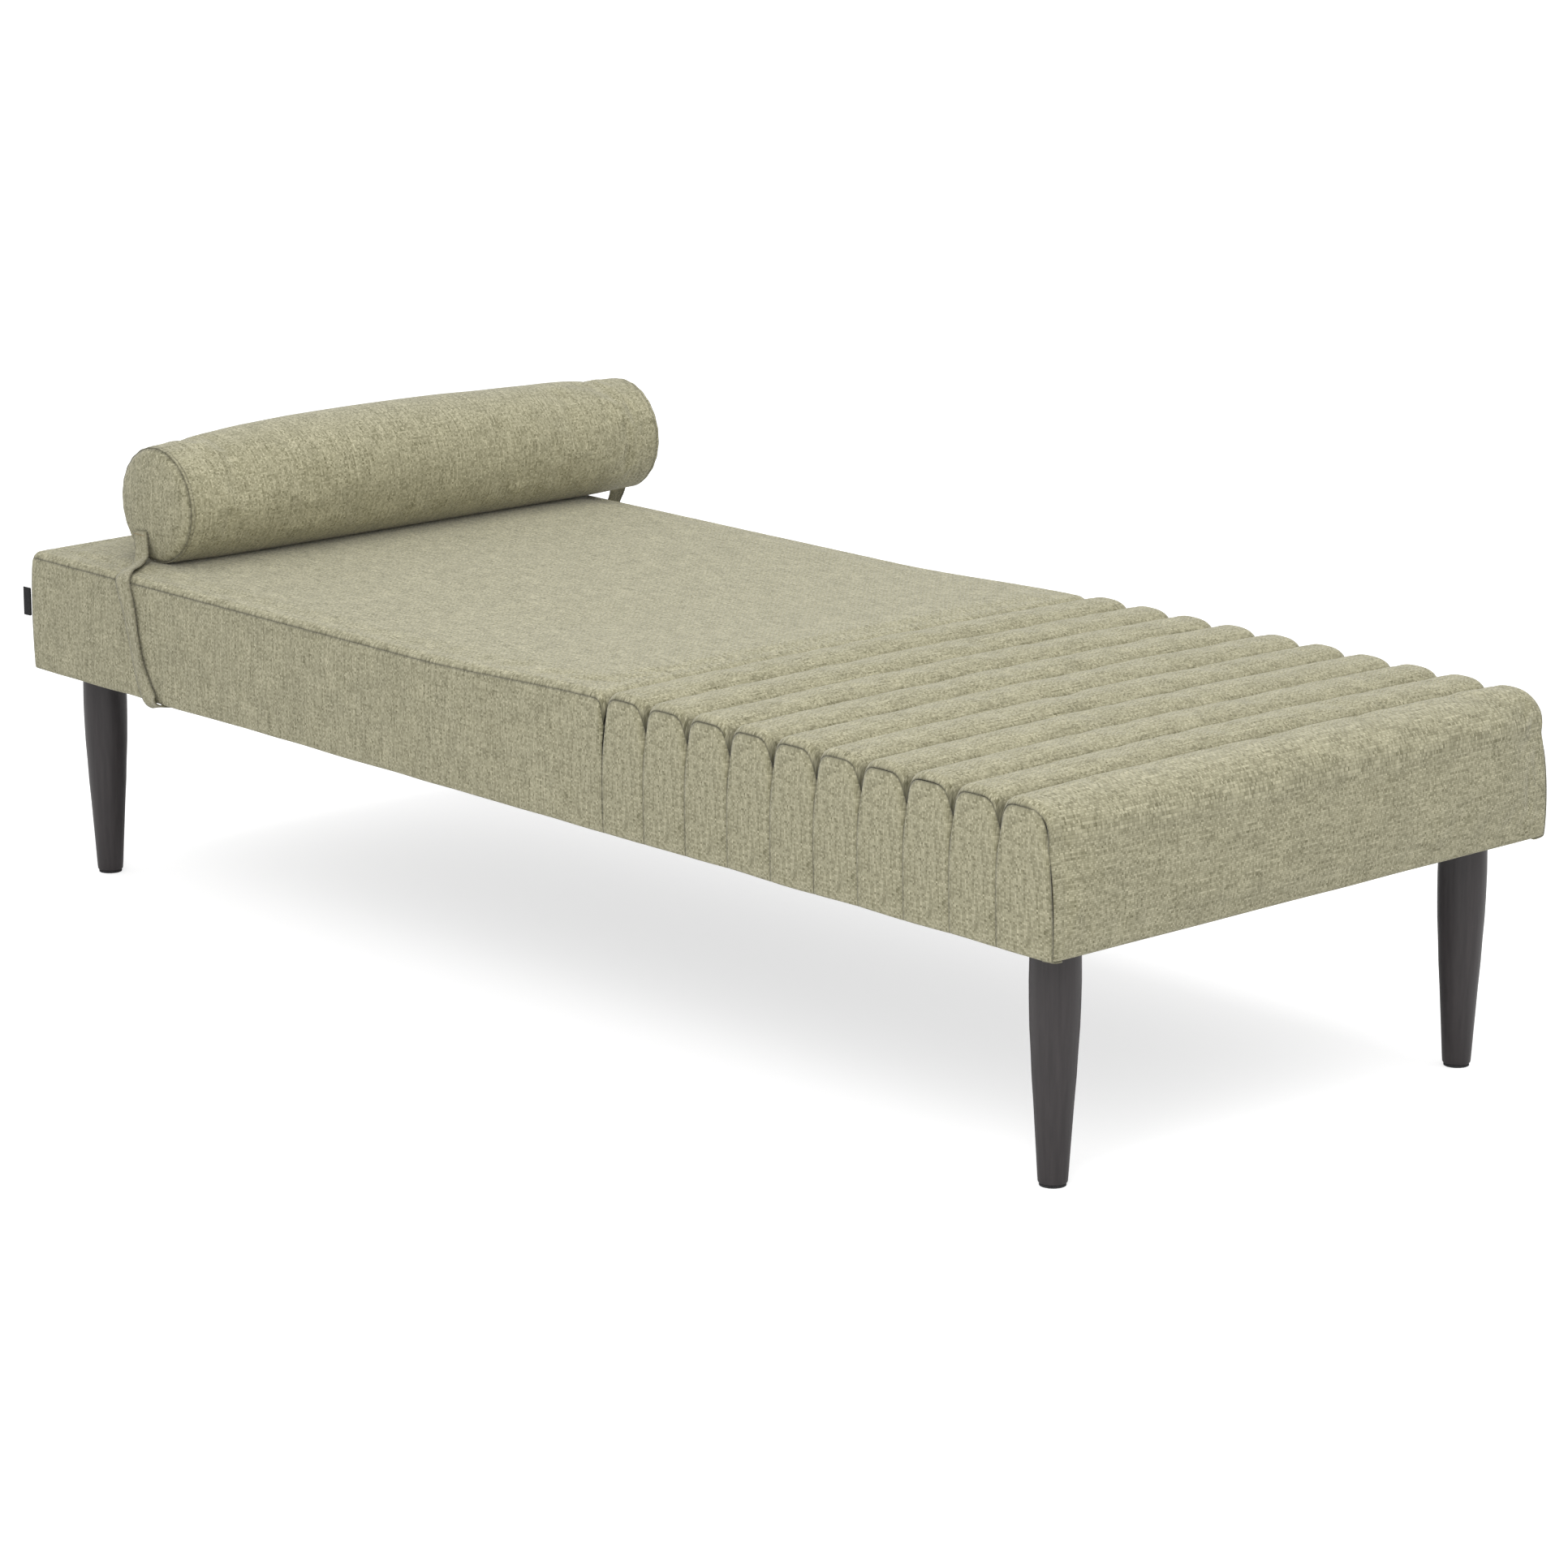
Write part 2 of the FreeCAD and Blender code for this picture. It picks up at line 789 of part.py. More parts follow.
front_y = -half_width
groove_low = groove_level(0) - fabric
panel = Outline(front_y, head_x, cover_bottom)
panel.line(head_x, seat_level(0) - size["headRound"])
panel.line(head_x + fabric, seat_level(0) - size["headRound"])
head_stretch(panel, 0, fabric)
panel.falling_bow(size["firstGroove"] - allowance, groove_low)
panel.line(size["firstGroove"], groove_low)
panel.line(size["firstGroove"], cover_bottom)
front_panel = side_piece(panel)
strips = []
for k, start in enumerate(grooves):
    strip = Outline(front_y, start, cover_bottom, plain=True)
    strip.line(start, groove_low)
    strip.line(start + allowance, groove_low)
    if k < len(grooves) - 1:
        channel(strip, 0, fabric, allowance, k)
        strip.line(start + size["channelPitch"], groove_low)
        strip.line(start + size["channelPitch"], cover_bottom)
    else:
        foot_stretch(strip, 0, fabric)
        foot_face(strip, 0, fabric)
    strips.append(side_piece(strip))
add_form("front_panel", front_panel)
add_form("back_panel", mirror_back(front_panel))
add_form("front_channel_ends", Part.makeCompound(strips))
add_form("back_channel_ends", Part.makeCompound([mirror_back(strip) for strip in strips]))

edge_points = [
    Vector(head_x, y, seat_level(inset) - size["headRound"]) for y, inset in stations(fabric)
]
corner_points = [Vector(head_x, y, cover_bottom) for y in (half_width - fabric, fabric - half_width)]
head_face = Part.Face(Part.makePolygon([*edge_points, *corner_points, edge_points[0]]))
add_form("head_panel", head_face.extrude(Vector(fabric, 0, 0)))

# Foam slab, lower under the channels, and one soft filling in each channel, whose section keeps
# its shape and rises towards the middle of the body
base = size["channelBase"]
deck_top = size["deckTop"]
slab_wires = []
for y, inset in stations(lining):
    slab = Outline(y, head_x + lining, deck_top)
    slab.line(head_x + lining, seat_level(inset) - size["headRound"])
    head_stretch(slab, inset, lining)
    slab.falling_bow(
        size["firstGroove"] - allowance - size["coverGap"], groove_level(inset) - lining
    )
    slab.line(slab.spot[0], base)
    slab.line(foot_reach(inset, lining, base), base)
    slab.line(foot_reach(inset, lining, deck_top), deck_top)
    slab_wires.append(join(slab))
add_form("seat_foam", loft(slab_wires))

# The foam strip at the foot end follows the bulge of the cover
rail_end = size["railEnd"]
rail_low = size["standHeight"]
strip_wires = []
for y, inset in stations(lining):
    strip = Outline(y, rail_end, rail_low)
    strip.line(rail_end, deck_top)
    strip.line(foot_reach(inset, lining, deck_top), deck_top)
    strip.line(foot_reach(inset, lining, rail_low), rail_low)
    strip_wires.append(join(strip))
add_form("border_foam_foot", loft(strip_wires))

margin = allowance + size["coverGap"]
for k, start in enumerate(grooves):
    filling_wires = []
    for y, inset in stations(lining):
        rise = crest_level(inset) - crest_level(0)
        filling = Outline(y, start + margin, base, plain=True)
        filling.line(start + margin, groove_level(0) - lining + rise)
        if k < len(grooves) - 1:
            channel(filling, 0, lining - rise, margin, k)
        else:
            crest = crest_level(inset) - lining
            filling.rising_bow(grooves[-1] + size["channelPitch"] / 2, crest)
            filling.falling_bow(foot_x - foot_tuck(inset) - lining, pinch_level)
        filling.line(filling.spot[0], base)
        filling_wires.append(join(filling))
    add_form(f"channel_filling_{k + 1:02d}", loft(filling_wires))

# Bolster: a soft roll that swells towards its middle and lies flat along its lower side
bolster_steps = (-1, -0.5, 0, 0.5, 1)


def bolster_loft(name, depth):
    """A solid through circles whose lowest points lie on one level."""
    rings = []
    for k, step in enumerate(bolster_steps):
        radius = (
            f"(bolsterRimRadius + (bolsterMiddleRadius - bolsterRimRadius) * {1 - step * step})"
        )
        spot = (
            "bolsterPlace",
            f"bolsterShift + {step} * bolsterLength / 2",
            f"bolsterBottom + {radius}",
        )
        rings.append(
            make_ring(f"{name}_ring_{k + 1}", f"{radius} - {depth}", *spot, upright=True)
        )
    return make_round(name, rings)


def bolster_dome(name, side, depth):
    """The end of the bolster, a low dome in two bands with a flat crown."""
    sign = "-" if side == "front" else "+"
    bands = (
        ("rim", "bolsterRimRadius", "0"),
        ("knee", "bolsterKneeRadius", f"bolsterKneeHeight - {depth}"),
        ("crown", "bolsterCrownRadius", f"bolsterDome - {depth}"),
    )
    rings = [
        make_ring(
            f"{name}_{label}",
            f"{radius} - {depth}",
            "bolsterPlace",
            f"bolsterShift {sign} (bolsterLength / 2 + {out})",
            "bolsterBottom + bolsterRimRadius",
            upright=True,
            flats="bolsterFlats",
        )
        for label, radius, out in bands
    ]
    return make_round(name, rings)


cover_outer = bolster_loft("bolster_outer", "0")
cover_inner = bolster_loft("bolster_inner", "fabric")
name_part(make_cut("bolster_cover", cover_outer, cover_inner), "bolster_cover")
core_parts = [bolster_loft("bolster_roll", "(fabric + coverGap)")]
for side in ("front", "back"):
    shell = bolster_dome(f"bolster_dome_{side}", side, "0")
    hollow = bolster_dome(f"bolster_hollow_{side}", side, "fabric")
    name_part(make_cut(f"bolster_end_{side}", shell, hollow), f"bolster_end_{side}")
    core_parts.append(bolster_dome(f"bolster_stuffing_{side}", side, "(fabric + coverGap)"))
core = doc.addObject("Part::MultiFuse", "bolster_core")
core.Shapes = core_parts
name_part(core, "bolster_core")

# Straps that loop from one end of the bolster under the body to the other
thick = size["strapThickness"]
strap_x = size["bolsterPlace"]
strap_low = size["strapBottom"] + thick / 2
side_out = half_width + size["coverGap"] + thick / 2
crown = size["bolsterBottom"]
under_x = strap_x + size["strapSlant"]
under_y = half_width - size["strapUnderLap"]


def ribbon(stops):
    """A flat band through stops of (place, way out of its face, thickness there)."""
    wires = []
    for spot, out, depth in stops:
        across = Vector(size["strapWidth"] / 2, 0, 0)
        half = Vector(*out).normalize() * depth / 2
        ring = [
            spot - across - half,
            spot + across - half,
            spot + across + half,
            spot - across + half,
        ]
        wires.append(Part.makePolygon([*ring, ring[0]]))
    return loft(wires)


def end_strap(side):
    """A strap from the end of the bolster over the edge and down to the underside."""
    end_y = abs(size["bolsterShift"] + side * size["bolsterLength"] / 2)
    face = end_y + size["strapLift"] + thick / 2
    edge = half_width - size["strapEdgeInset"]
    if end_y > half_width:
        edge = half_width + size["strapOverhang"]
    # Each stop: along X from the bolster's middle, out from the body's middle, height above the
    # seat, and the way that the strap's face looks there.
    stops = [
        (-39, face, 34, (0, 1, 0)),
        (-32, face + 1, 12, (0, 1, -0.1)),
        (-14, edge, 3.5, (0, 1, 1.4)),
        (14, side_out + 1, -10, (0, 1, 0.2)),
        (29, side_out, -38, (0, 1, 0)),
        (35, side_out, -85, (0, 1, 0)),
        (46, side_out, -115, (0, 1, 0)),
    ]
    run = [
        (Vector(strap_x + x, side * y, crown + z), (0, side * out[1], out[2]), thick)
        for x, y, z, out in stops
    ]
    fold = Vector(under_x - size["strapFoldLead"], side * side_out, strap_low)
    run.append((fold, (0, side, -1), thick * sqrt(2)))
    run.append((Vector(under_x, side * under_y, strap_low), (0, 0, -1), thick))
    return ribbon(run)


add_form("strap_front", end_strap(-1))
add_form("strap_back", end_strap(1))
under = [(Vector(under_x, y, strap_low), (0, 0, -1), thick) for y in (-under_y, under_y)]
add_form("strap_under", ribbon(under))

doc.recompute()
faults = [thing.Name for thing in doc.Objects if {"Invalid", "Error"} & set(thing.State)]
if faults:
    raise ValueError(f"failed objects: {faults}")
for thing in subparts:
    shape = thing.Shape
    if shape.isNull() or not shape.isValid() or shape.Volume <= 0:
        raise ValueError(f"{thing.Label} has no sound solid")
for thing in subparts:
    thing.Shape.exportStep(f"parts/{thing.Label}.step")
print(f"{len(subparts)} parts written")
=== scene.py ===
from math import atan2, cos, exp, hypot, pi, radians, sin, sqrt

import bmesh
import bpy
from mathutils import Matrix, Vector, noise


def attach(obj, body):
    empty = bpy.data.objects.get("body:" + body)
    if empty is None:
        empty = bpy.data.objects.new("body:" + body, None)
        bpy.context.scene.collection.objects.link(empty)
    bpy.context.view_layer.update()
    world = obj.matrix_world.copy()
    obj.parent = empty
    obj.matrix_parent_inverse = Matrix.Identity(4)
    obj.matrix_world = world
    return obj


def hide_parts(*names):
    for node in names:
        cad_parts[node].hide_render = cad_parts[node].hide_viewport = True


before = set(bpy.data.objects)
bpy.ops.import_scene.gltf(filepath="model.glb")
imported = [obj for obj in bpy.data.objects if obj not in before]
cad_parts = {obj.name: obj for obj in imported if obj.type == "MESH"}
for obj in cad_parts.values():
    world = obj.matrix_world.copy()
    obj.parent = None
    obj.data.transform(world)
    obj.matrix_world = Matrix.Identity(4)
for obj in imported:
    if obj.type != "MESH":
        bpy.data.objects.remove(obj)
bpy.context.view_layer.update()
print("frame loaded")

# Lengths are in millimetres up to the vertices, which are in metres. A pair for a tuck, a pucker, a pinch
# or a line of painted shade is its depth and the distance over which it fades.
body = {
    "headX": -950, "halfWidth": 400, "low": 274, "curl": 5, "under": 12, "underStart": 0.6,
    "seatLevels": (424, 431.7, 434.2), "grooveLevels": (402, 423, 429.5), "ribLevels": (438, 446, 452),
    "archPowers": (5.5, 3.2, 2.2), "archRound": 0.6, "seamNarrow": 1.06,
    "firstGroove": 213, "pitch": 72.3, "ribCount": 10, "rise": 10, "riseLength": 350,
    "rollWidth": 12, "dip": 24, "footX": (939, 945), "footEase": 90, "footLowX": 948, "footBulge": 5,
    "bulgePower": 0.7, "pinchLevel": 404, "cornerRadius": 10, "seamDrop": 0.5, "thickness": 1.5,
}
lastRib = body["firstGroove"] + body["pitch"] * (body["ribCount"] - 1)


def ease(value):
    value = min(max(value, 0), 1)
    return value * value * (3 - 2 * value)


def rollUp(distance, width):
    return sin(min(max(distance / width, 0), 1) * pi / 2)


def dense(part, amount):
    # closer together near both ends
    return part - amount * sin(2 * pi * part) / (2 * pi)


def ripple(x, y, scale, seed):
    return noise.noise(Vector((x / scale, y / scale, seed * 7.31)))


def signOf(value):
    return 1 if value > 0 else -1


def fade(distance, depth, reach):
    return depth * exp(-distance / reach)


def bell(distance, depth, reach):
    return depth * exp(-(distance / reach) ** 2)


def curlUnder(turn):
    # how far the lower edge has turned in, and how far it then runs under the body
    start = body["underStart"]
    return body["curl"] * (1 - cos(turn)), body["under"] * ease((turn / (pi / 2) - start) / (1 - start))


def arch(part, power):
    return max(1 - abs(2 * part - 1) ** power, 0) ** body["archRound"]


def mixLevels(part, high):
    # steep notches at the side seam, and rounder ones inside it
    narrow = min(max(0.5 + (part - 0.5) * body["seamNarrow"], 0), 1)
    shares = [arch(where, power) for where, power in zip((narrow, part, part), body["archPowers"])]
    return [low + (top - low) * share for low, top, share in zip(body["grooveLevels"], high, shares)]


def topLevels(x):
    # levels of the top at the side seam, just inside it and in the middle
    start = body["firstGroove"]
    if x < start:
        rise = body["rise"] * ease((x - start + body["riseLength"]) / body["riseLength"])
        high = [level + rise for level in body["seatLevels"]]
        return mixLevels(min((start - x) / body["dip"], 1) / 2, high)
    return mixLevels(((x - start) / body["pitch"]) % 1, body["ribLevels"])


def topLevel(x, y, levels=None):
    side, shoulder, middle = levels or topLevels(x)
    inside = rollUp(body["halfWidth"] - abs(y), body["rollWidth"])
    crown = 1 - (y / body["halfWidth"]) ** 2
    level = side + (shoulder - side) * inside + (middle - shoulder) * crown * inside
    head = rollUp(x - body["headX"], body["rollWidth"])
    return side + (level - side) * head


# Materials
def nodeSet(name, group=None):
    if group:
        return group, group.nodes, group.links
    material = bpy.data.materials.new(name)
    material.use_nodes = True
    return material, material.node_tree.nodes, material.node_tree.links


def addNode(nodes, kind, links=None, **values):
    node = nodes.new("ShaderNode" + kind)
    for key, value in values.items():
        if key.startswith("in_"):
            spot = key[3:]
            socket = node.inputs[int(spot) if spot.isdigit() else spot.replace("_", " ")]
            if isinstance(value, bpy.types.NodeSocket):
                links.new(value, socket)
            else:
                socket.default_value = value
        else:
            setattr(node, key, value)
    return node


def mathNode(nodes, links, operation, first, second=0.0):
    return addNode(nodes, "Math", links, operation=operation, in_0=first, in_1=second).outputs[0]


def mixColour(nodes, links, factor, first, second, blend="MIX"):
    return addNode(nodes, "Mix", links, data_type="RGBA", blend_type=blend, in_0=factor, in_6=first,
                   in_7=second).outputs[2]


def mixValue(nodes, links, factor, first, second):
    return addNode(nodes, "Mix", links, in_0=factor, in_2=first, in_3=second).outputs[0]


def mapRange(nodes, links, value, source=(0.0, 1.0), target=(0.0, 1.0)):
    return addNode(nodes, "MapRange", links, in_0=value, in_1=source[0], in_2=source[1], in_3=target[0],
                   in_4=target[1]).outputs[0]


# The hollow pair paints shade into the gaps between threads, and the shade strength sets how much painted
# shade the shade input gives.
weaveLook = {
    "threadStep": 1.37, "threadDetail": 2.0, "seeds": (3.0, 11.0), "repeat": 3.0, "over": 1.5, "speck": 0.45,
    "patchScale": 28.0, "patchDetail": 3.0, "patchRange": (0.3, 0.7), "patchShades": (0.95, 1.05),
    "toneRange": (0.28, 0.72), "hollowRange": (0.0, 0.6), "hollowShades": (0.72, 1.0), "paintedShadeStrength": 0.7,
    "roughness": (0.95, 0.82),
}


def buildWeave():
    # Threads of two tones over and under each other, from a flat place in metres, with painted shade in the
    # gaps between the threads and where the shade input is high.
    look = weaveLook
    group = bpy.data.node_groups.new("weave", "ShaderNodeTree")
    face = group.interface
    for name, kind in (
        ("Place", "Vector"), ("Pitch", "Float"), ("Run", "Float"), ("Dark", "Color"), ("Light", "Color"),
        ("PaintedShade", "Float"),
    ):
        face.new_socket(name, in_out="INPUT", socket_type="NodeSocket" + kind)
    for name, kind in (("Color", "Color"), ("Roughness", "Float"), ("Height", "Float")):
        face.new_socket(name, in_out="OUTPUT", socket_type="NodeSocket" + kind)
    _, nodes, links = nodeSet("weave", group)
    given = nodes.new("NodeGroupInput").outputs
    made = nodes.new("NodeGroupOutput").inputs

    def work(operation, first, second=0.0):
        return mathNode(nodes, links, operation, first, second)

    def noiseAt(place, scale, detail):
        node = addNode(nodes, "TexNoise", links, in_Vector=place, in_Scale=scale, in_Detail=detail)
        return node.outputs["Fac"]

    split = addNode(nodes, "SeparateXYZ", links, in_0=given["Place"]).outputs
    across = work("DIVIDE", split[0], given["Pitch"])
    along = work("DIVIDE", split[1], given["Pitch"])
    tones, bumps = [], []
    for own, other, seed in zip((across, along), (along, across), look["seeds"]):
        thread = work("MULTIPLY", work("FLOOR", own), look["threadStep"])
        run = work("MULTIPLY", other, given["Run"])
        line = addNode(nodes, "CombineXYZ", links, in_0=thread, in_1=run, in_2=seed).outputs[0]
        tones.append(noiseAt(line, 1.0, look["threadDetail"]))
        bumps.append(work("ABSOLUTE", work("SINE", work("MULTIPLY", own, pi))))
    column, row = work("FLOOR", across), work("FLOOR", along)
    step = work("FLOORED_MODULO", work("ADD", column, row), look["repeat"])
    over = work("LESS_THAN", step, look["over"])
    tone = mixValue(nodes, links, over, tones[1], tones[0])
    height = mixValue(nodes, links, over, bumps[1], bumps[0])
    patch = noiseAt(given["Place"], look["patchScale"], look["patchDetail"])
    knot = addNode(nodes, "CombineXYZ", links, in_0=column, in_1=row).outputs[0]
    speck = addNode(nodes, "TexWhiteNoise", links, in_Vector=knot).outputs["Value"]
    share = mapRange(nodes, links, tone, look["toneRange"])
    share = mixValue(nodes, links, look["speck"], share, speck)
    colour = mixColour(nodes, links, share, given["Dark"], given["Light"])
    # painted shade: the colour is darker in the gaps between the threads
    threadGapShade = mapRange(nodes, links, height, look["hollowRange"], look["hollowShades"])
    broad = mapRange(nodes, links, patch, look["patchRange"], look["patchShades"])
    # painted shade in seams, grooves and notches, from the per-point shade input
    paintedShadeFactor = work("SUBTRACT", 1.0, work("MULTIPLY", given["PaintedShade"], look["paintedShadeStrength"]))
    # painted shade times the random patch tone
    shadeAndPatches = work("MULTIPLY", work("MULTIPLY", threadGapShade, broad), paintedShadeFactor)
    shadeAndPatchColour = addNode(nodes, "CombineColor", links, in_0=shadeAndPatches, in_1=shadeAndPatches, in_2=shadeAndPatches).outputs[0]
    links.new(mixColour(nodes, links, 1.0, colour, shadeAndPatchColour, "MULTIPLY"), made["Color"])
    links.new(mapRange(nodes, links, tone, target=look["roughness"]), made["Roughness"])
    links.new(height, made["Height"])
    return group


weaveGroup = buildWeave()
clothLook = {"reliefDepth": 0.0005, "Sheen Roughness": 0.5, "Specular IOR Level": 0.2}
grainLook = {"detail": 6.0, "roughness": 0.6, "range": (0.35, 0.65), "reliefDepth": 0.0003}


def fabric(name, dark, light, pitch=0.0023, run=0.09, bump=0.5, sheen=0.25):
    material, nodes, links = nodeSet(name)
    shader = nodes["Principled BSDF"]
    weave = nodes.new("ShaderNodeGroup")
    weave.node_tree = weaveGroup
    links.new(addNode(nodes, "UVMap", uv_map="weave").outputs[0], weave.inputs["Place"])
    # painted shade: the per-point attribute darkens the cloth in seams, grooves and notches
    links.new(addNode(nodes, "Attribute", attribute_name="paintedShade").outputs["Fac"], weave.inputs["PaintedShade"])
    for key, value in (("Pitch", pitch), ("Run", run), ("Dark", (*dark, 1)), ("Light", (*light, 1))):
        weave.inputs[key].default_value = value
    links.new(weave.outputs["Color"], shader.inputs["Base Color"])
    links.new(weave.outputs["Roughness"], shader.inputs["Roughness"])
    relief = addNode(nodes, "Bump", links, in_Strength=bump, in_Distance=clothLook["reliefDepth"],
                     in_Height=weave.outputs["Height"])
    links.new(relief.outputs[0], shader.inputs["Normal"])
    shader.inputs["Sheen Weight"].default_value = sheen
    for key in ("Sheen Roughness", "Specular IOR Level"):
        shader.inputs[key].default_value = clothLook[key]
    return material


def grained(name, dark, light, stretch, scale, rough, relief=0.15, coat=0.0, metal=0.0):
    # wood, felt or plated steel from object coordinates
    material, nodes, links = nodeSet(name)
    shader = nodes["Principled BSDF"]
    place = addNode(nodes, "TexCoord").outputs["Object"]
    turned = addNode(nodes, "Mapping", links, in_Vector=place, in_Scale=stretch).outputs[0]
    grain = addNode(nodes, "TexNoise", links, in_Vector=turned, in_Scale=scale, in_Detail=grainLook["detail"],
                    in_Roughness=grainLook["roughness"]).outputs["Fac"]
    share = mapRange(nodes, links, grain, grainLook["range"])
    links.new(mixColour(nodes, links, share, (*dark, 1), (*light, 1)), shader.inputs["Base Color"])
    links.new(mapRange(nodes, links, grain, target=rough), shader.inputs["Roughness"])
    bump = addNode(nodes, "Bump", links, in_Strength=relief, in_Distance=grainLook["reliefDepth"],
                   in_Height=grain)
    links.new(bump.outputs[0], shader.inputs["Normal"])
    shader.inputs["Coat Weight"].default_value = coat
    shader.inputs["Metallic"].default_value = metal
    return material


sage = ((0.16, 0.149, 0.078), (0.6, 0.565, 0.39))
even, alongX, alongZ = (1, 1, 1), (2, 26, 26), (26, 26, 1.6)
materials = {
    "top": fabric("sageTop", *sage),
    "side": fabric("sageSide", *sage, run=0.05),
    "rib": fabric("sageRib", *sage, run=0.06),
    "roll": fabric("sageRoll", *sage, run=0.05),
    "strap": fabric("sageStrap", (0.18, 0.167, 0.09), (0.58, 0.546, 0.385), run=0.05),
    "hem": fabric("sageHem", *sage, run=0.05),
    "blackCloth": fabric("blackCloth", (0.012, 0.012, 0.013), (0.04, 0.04, 0.042), pitch=0.0009, sheen=0.1),
    "blackTape": fabric("blackTape", (0.008, 0.008, 0.009), (0.025, 0.025, 0.027), pitch=0.0007, sheen=0.1),
    "webbing": fabric("webbing", (0.3, 0.27, 0.2), (0.62, 0.58, 0.48), pitch=0.0016),
    "thread": grained("tanThread", (0.3, 0.22, 0.12), (0.5, 0.38, 0.22), even, 900, (0.7, 0.9)),
    "stained": grained("stainedWood", (0.028, 0.023, 0.024), (0.043, 0.036, 0.037), alongZ, 6, (0.4, 0.5),
                       coat=0.2),
    "pine": grained("pine", (0.42, 0.26, 0.12), (0.72, 0.52, 0.3), alongX, 4, (0.6, 0.75)),
    "felt": grained("gliderFelt", (0.02, 0.02, 0.021), (0.06, 0.06, 0.062), even, 900, (0.9, 1.0), 0.6),
    "zinc": grained("zincSteel", (0.5, 0.51, 0.53), (0.72, 0.73, 0.75), even, 300, (0.25, 0.45), metal=1.0),
}
print("materials made")


# Mesh helpers
def toObject(name, bm, material, bodyName="daybed", smooth=True):
    for face in bm.faces:
        face.smooth = smooth
    mesh = bpy.data.meshes.new(name)
    bm.to_mesh(mesh)
    bm.free()
    mesh.materials.append(material)
    obj = bpy.data.objects.new(name, mesh)
    bpy.context.scene.collection.objects.link(obj)
    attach(obj, bodyName)
    return obj


def addGrid(bm, cells, place, outward):
    # A grid whose point (u, v) goes to place(u, v), which gives x, y, z, pattern u, pattern v and painted
    # shade.
    weave = bm.loops.layers.uv.get("weave") or bm.loops.layers.uv.new("weave")
    paintedShade = bm.verts.layers.float.get("paintedShade") or bm.verts.layers.float.new("paintedShade")
    grid = bmesh.ops.create_grid(bm, x_segments=cells[0], y_segments=cells[1], size=0.5)
    verts = grid["verts"]
    given = {vert: place(vert.co.x + 0.5, vert.co.y + 0.5) for vert in verts}
    faces = {face for vert in verts for face in vert.link_faces}
    for vert in verts:
        vert.co = Vector(given[vert][:3]) / 1000
        vert[paintedShade] = given[vert][5]
    for face in faces:
        face.normal_update()
        for loop in face.loops:
            loop[weave].uv = [value / 1000 for value in given[loop.vert][3:5]]
    if sum(face.normal.dot(outward) * face.calc_area() for face in faces) < 0:
        bmesh.ops.reverse_faces(bm, faces=list(faces))


def addLayers(obj, levels=1, thickness=body["thickness"]):
    if levels:
        smooth = obj.modifiers.new("smooth", "SUBSURF")
        smooth.levels = smooth.render_levels = levels
    if thickness:
        thick = obj.modifiers.new("thickness", "SOLIDIFY")
        thick.thickness = thickness / 1000
        thick.offset = -1


def gridPiece(name, cells, place, outward, material, bodyName="daybed"):
    bm = bmesh.new()
    addGrid(bm, cells, place, Vector(outward))
    return toObject(name, bm, materials[material], bodyName)


swellLook = {"pressure": 1.5, "stiffness": 12, "bending": 0.6, "quality": 5, "frames": 20, "freeShare": 0.97}


def inflate(obj, held, look):
    # Cloth swells between its pinned seams, and no point moves further than the cap.
    group = obj.vertex_groups.new(name="held")
    for vert in obj.data.vertices:
        group.add([vert.index], held(vert.co * 1000), "REPLACE")
    cloth = obj.modifiers.new("cloth", "CLOTH")
    settings = cloth.settings
    settings.vertex_group_mass = "held"
    settings.use_pressure = True
    settings.uniform_pressure_force = swellLook["pressure"]
    settings.effector_weights.gravity = 0
    settings.shrink_min = -look["grow"]
    settings.tension_stiffness = settings.compression_stiffness = swellLook["stiffness"]
    settings.bending_stiffness = swellLook["bending"]
    settings.quality = swellLook["quality"]
    cloth.point_cache.frame_start = 1
    cloth.point_cache.frame_end = swellLook["frames"]
    scene = bpy.context.scene
    for step in range(1, swellLook["frames"] + 1):
        scene.frame_set(step)
    swollen = obj.evaluated_get(bpy.context.evaluated_depsgraph_get()).data
    moves = [new.co - old.co for new, old in zip(swollen.vertices, obj.data.vertices)]
    obj.modifiers.remove(cloth)
    limit = look["cap"] / 1000
    for vert, move in zip(obj.data.vertices, moves):
        vert.co += move if move.length < limit else move * (limit / move.length)
    obj.vertex_groups.clear()
    scene.frame_set(1)


# Seat cover, from the head edge to the first groove
seatLook = {
    "cells": (132, 92), "lengthDense": 0.75, "widthDense": 0.8, "corner": 14, "pucker": (0.22, 16),
    "puckerPitch": 23, "puckerShare": 0.6, "puckerScale": 60, "waveDepth": 1.3, "waveScale": 170,
    "waveStart": 60, "tuck": (2, 2.2), "tuckDrop": 0.4, "edgeShade": (0.8, 1.6), "grooveShade": (0.7, 3),
    "heldReach": 40, "cap": 4, "grow": 0.004,
}


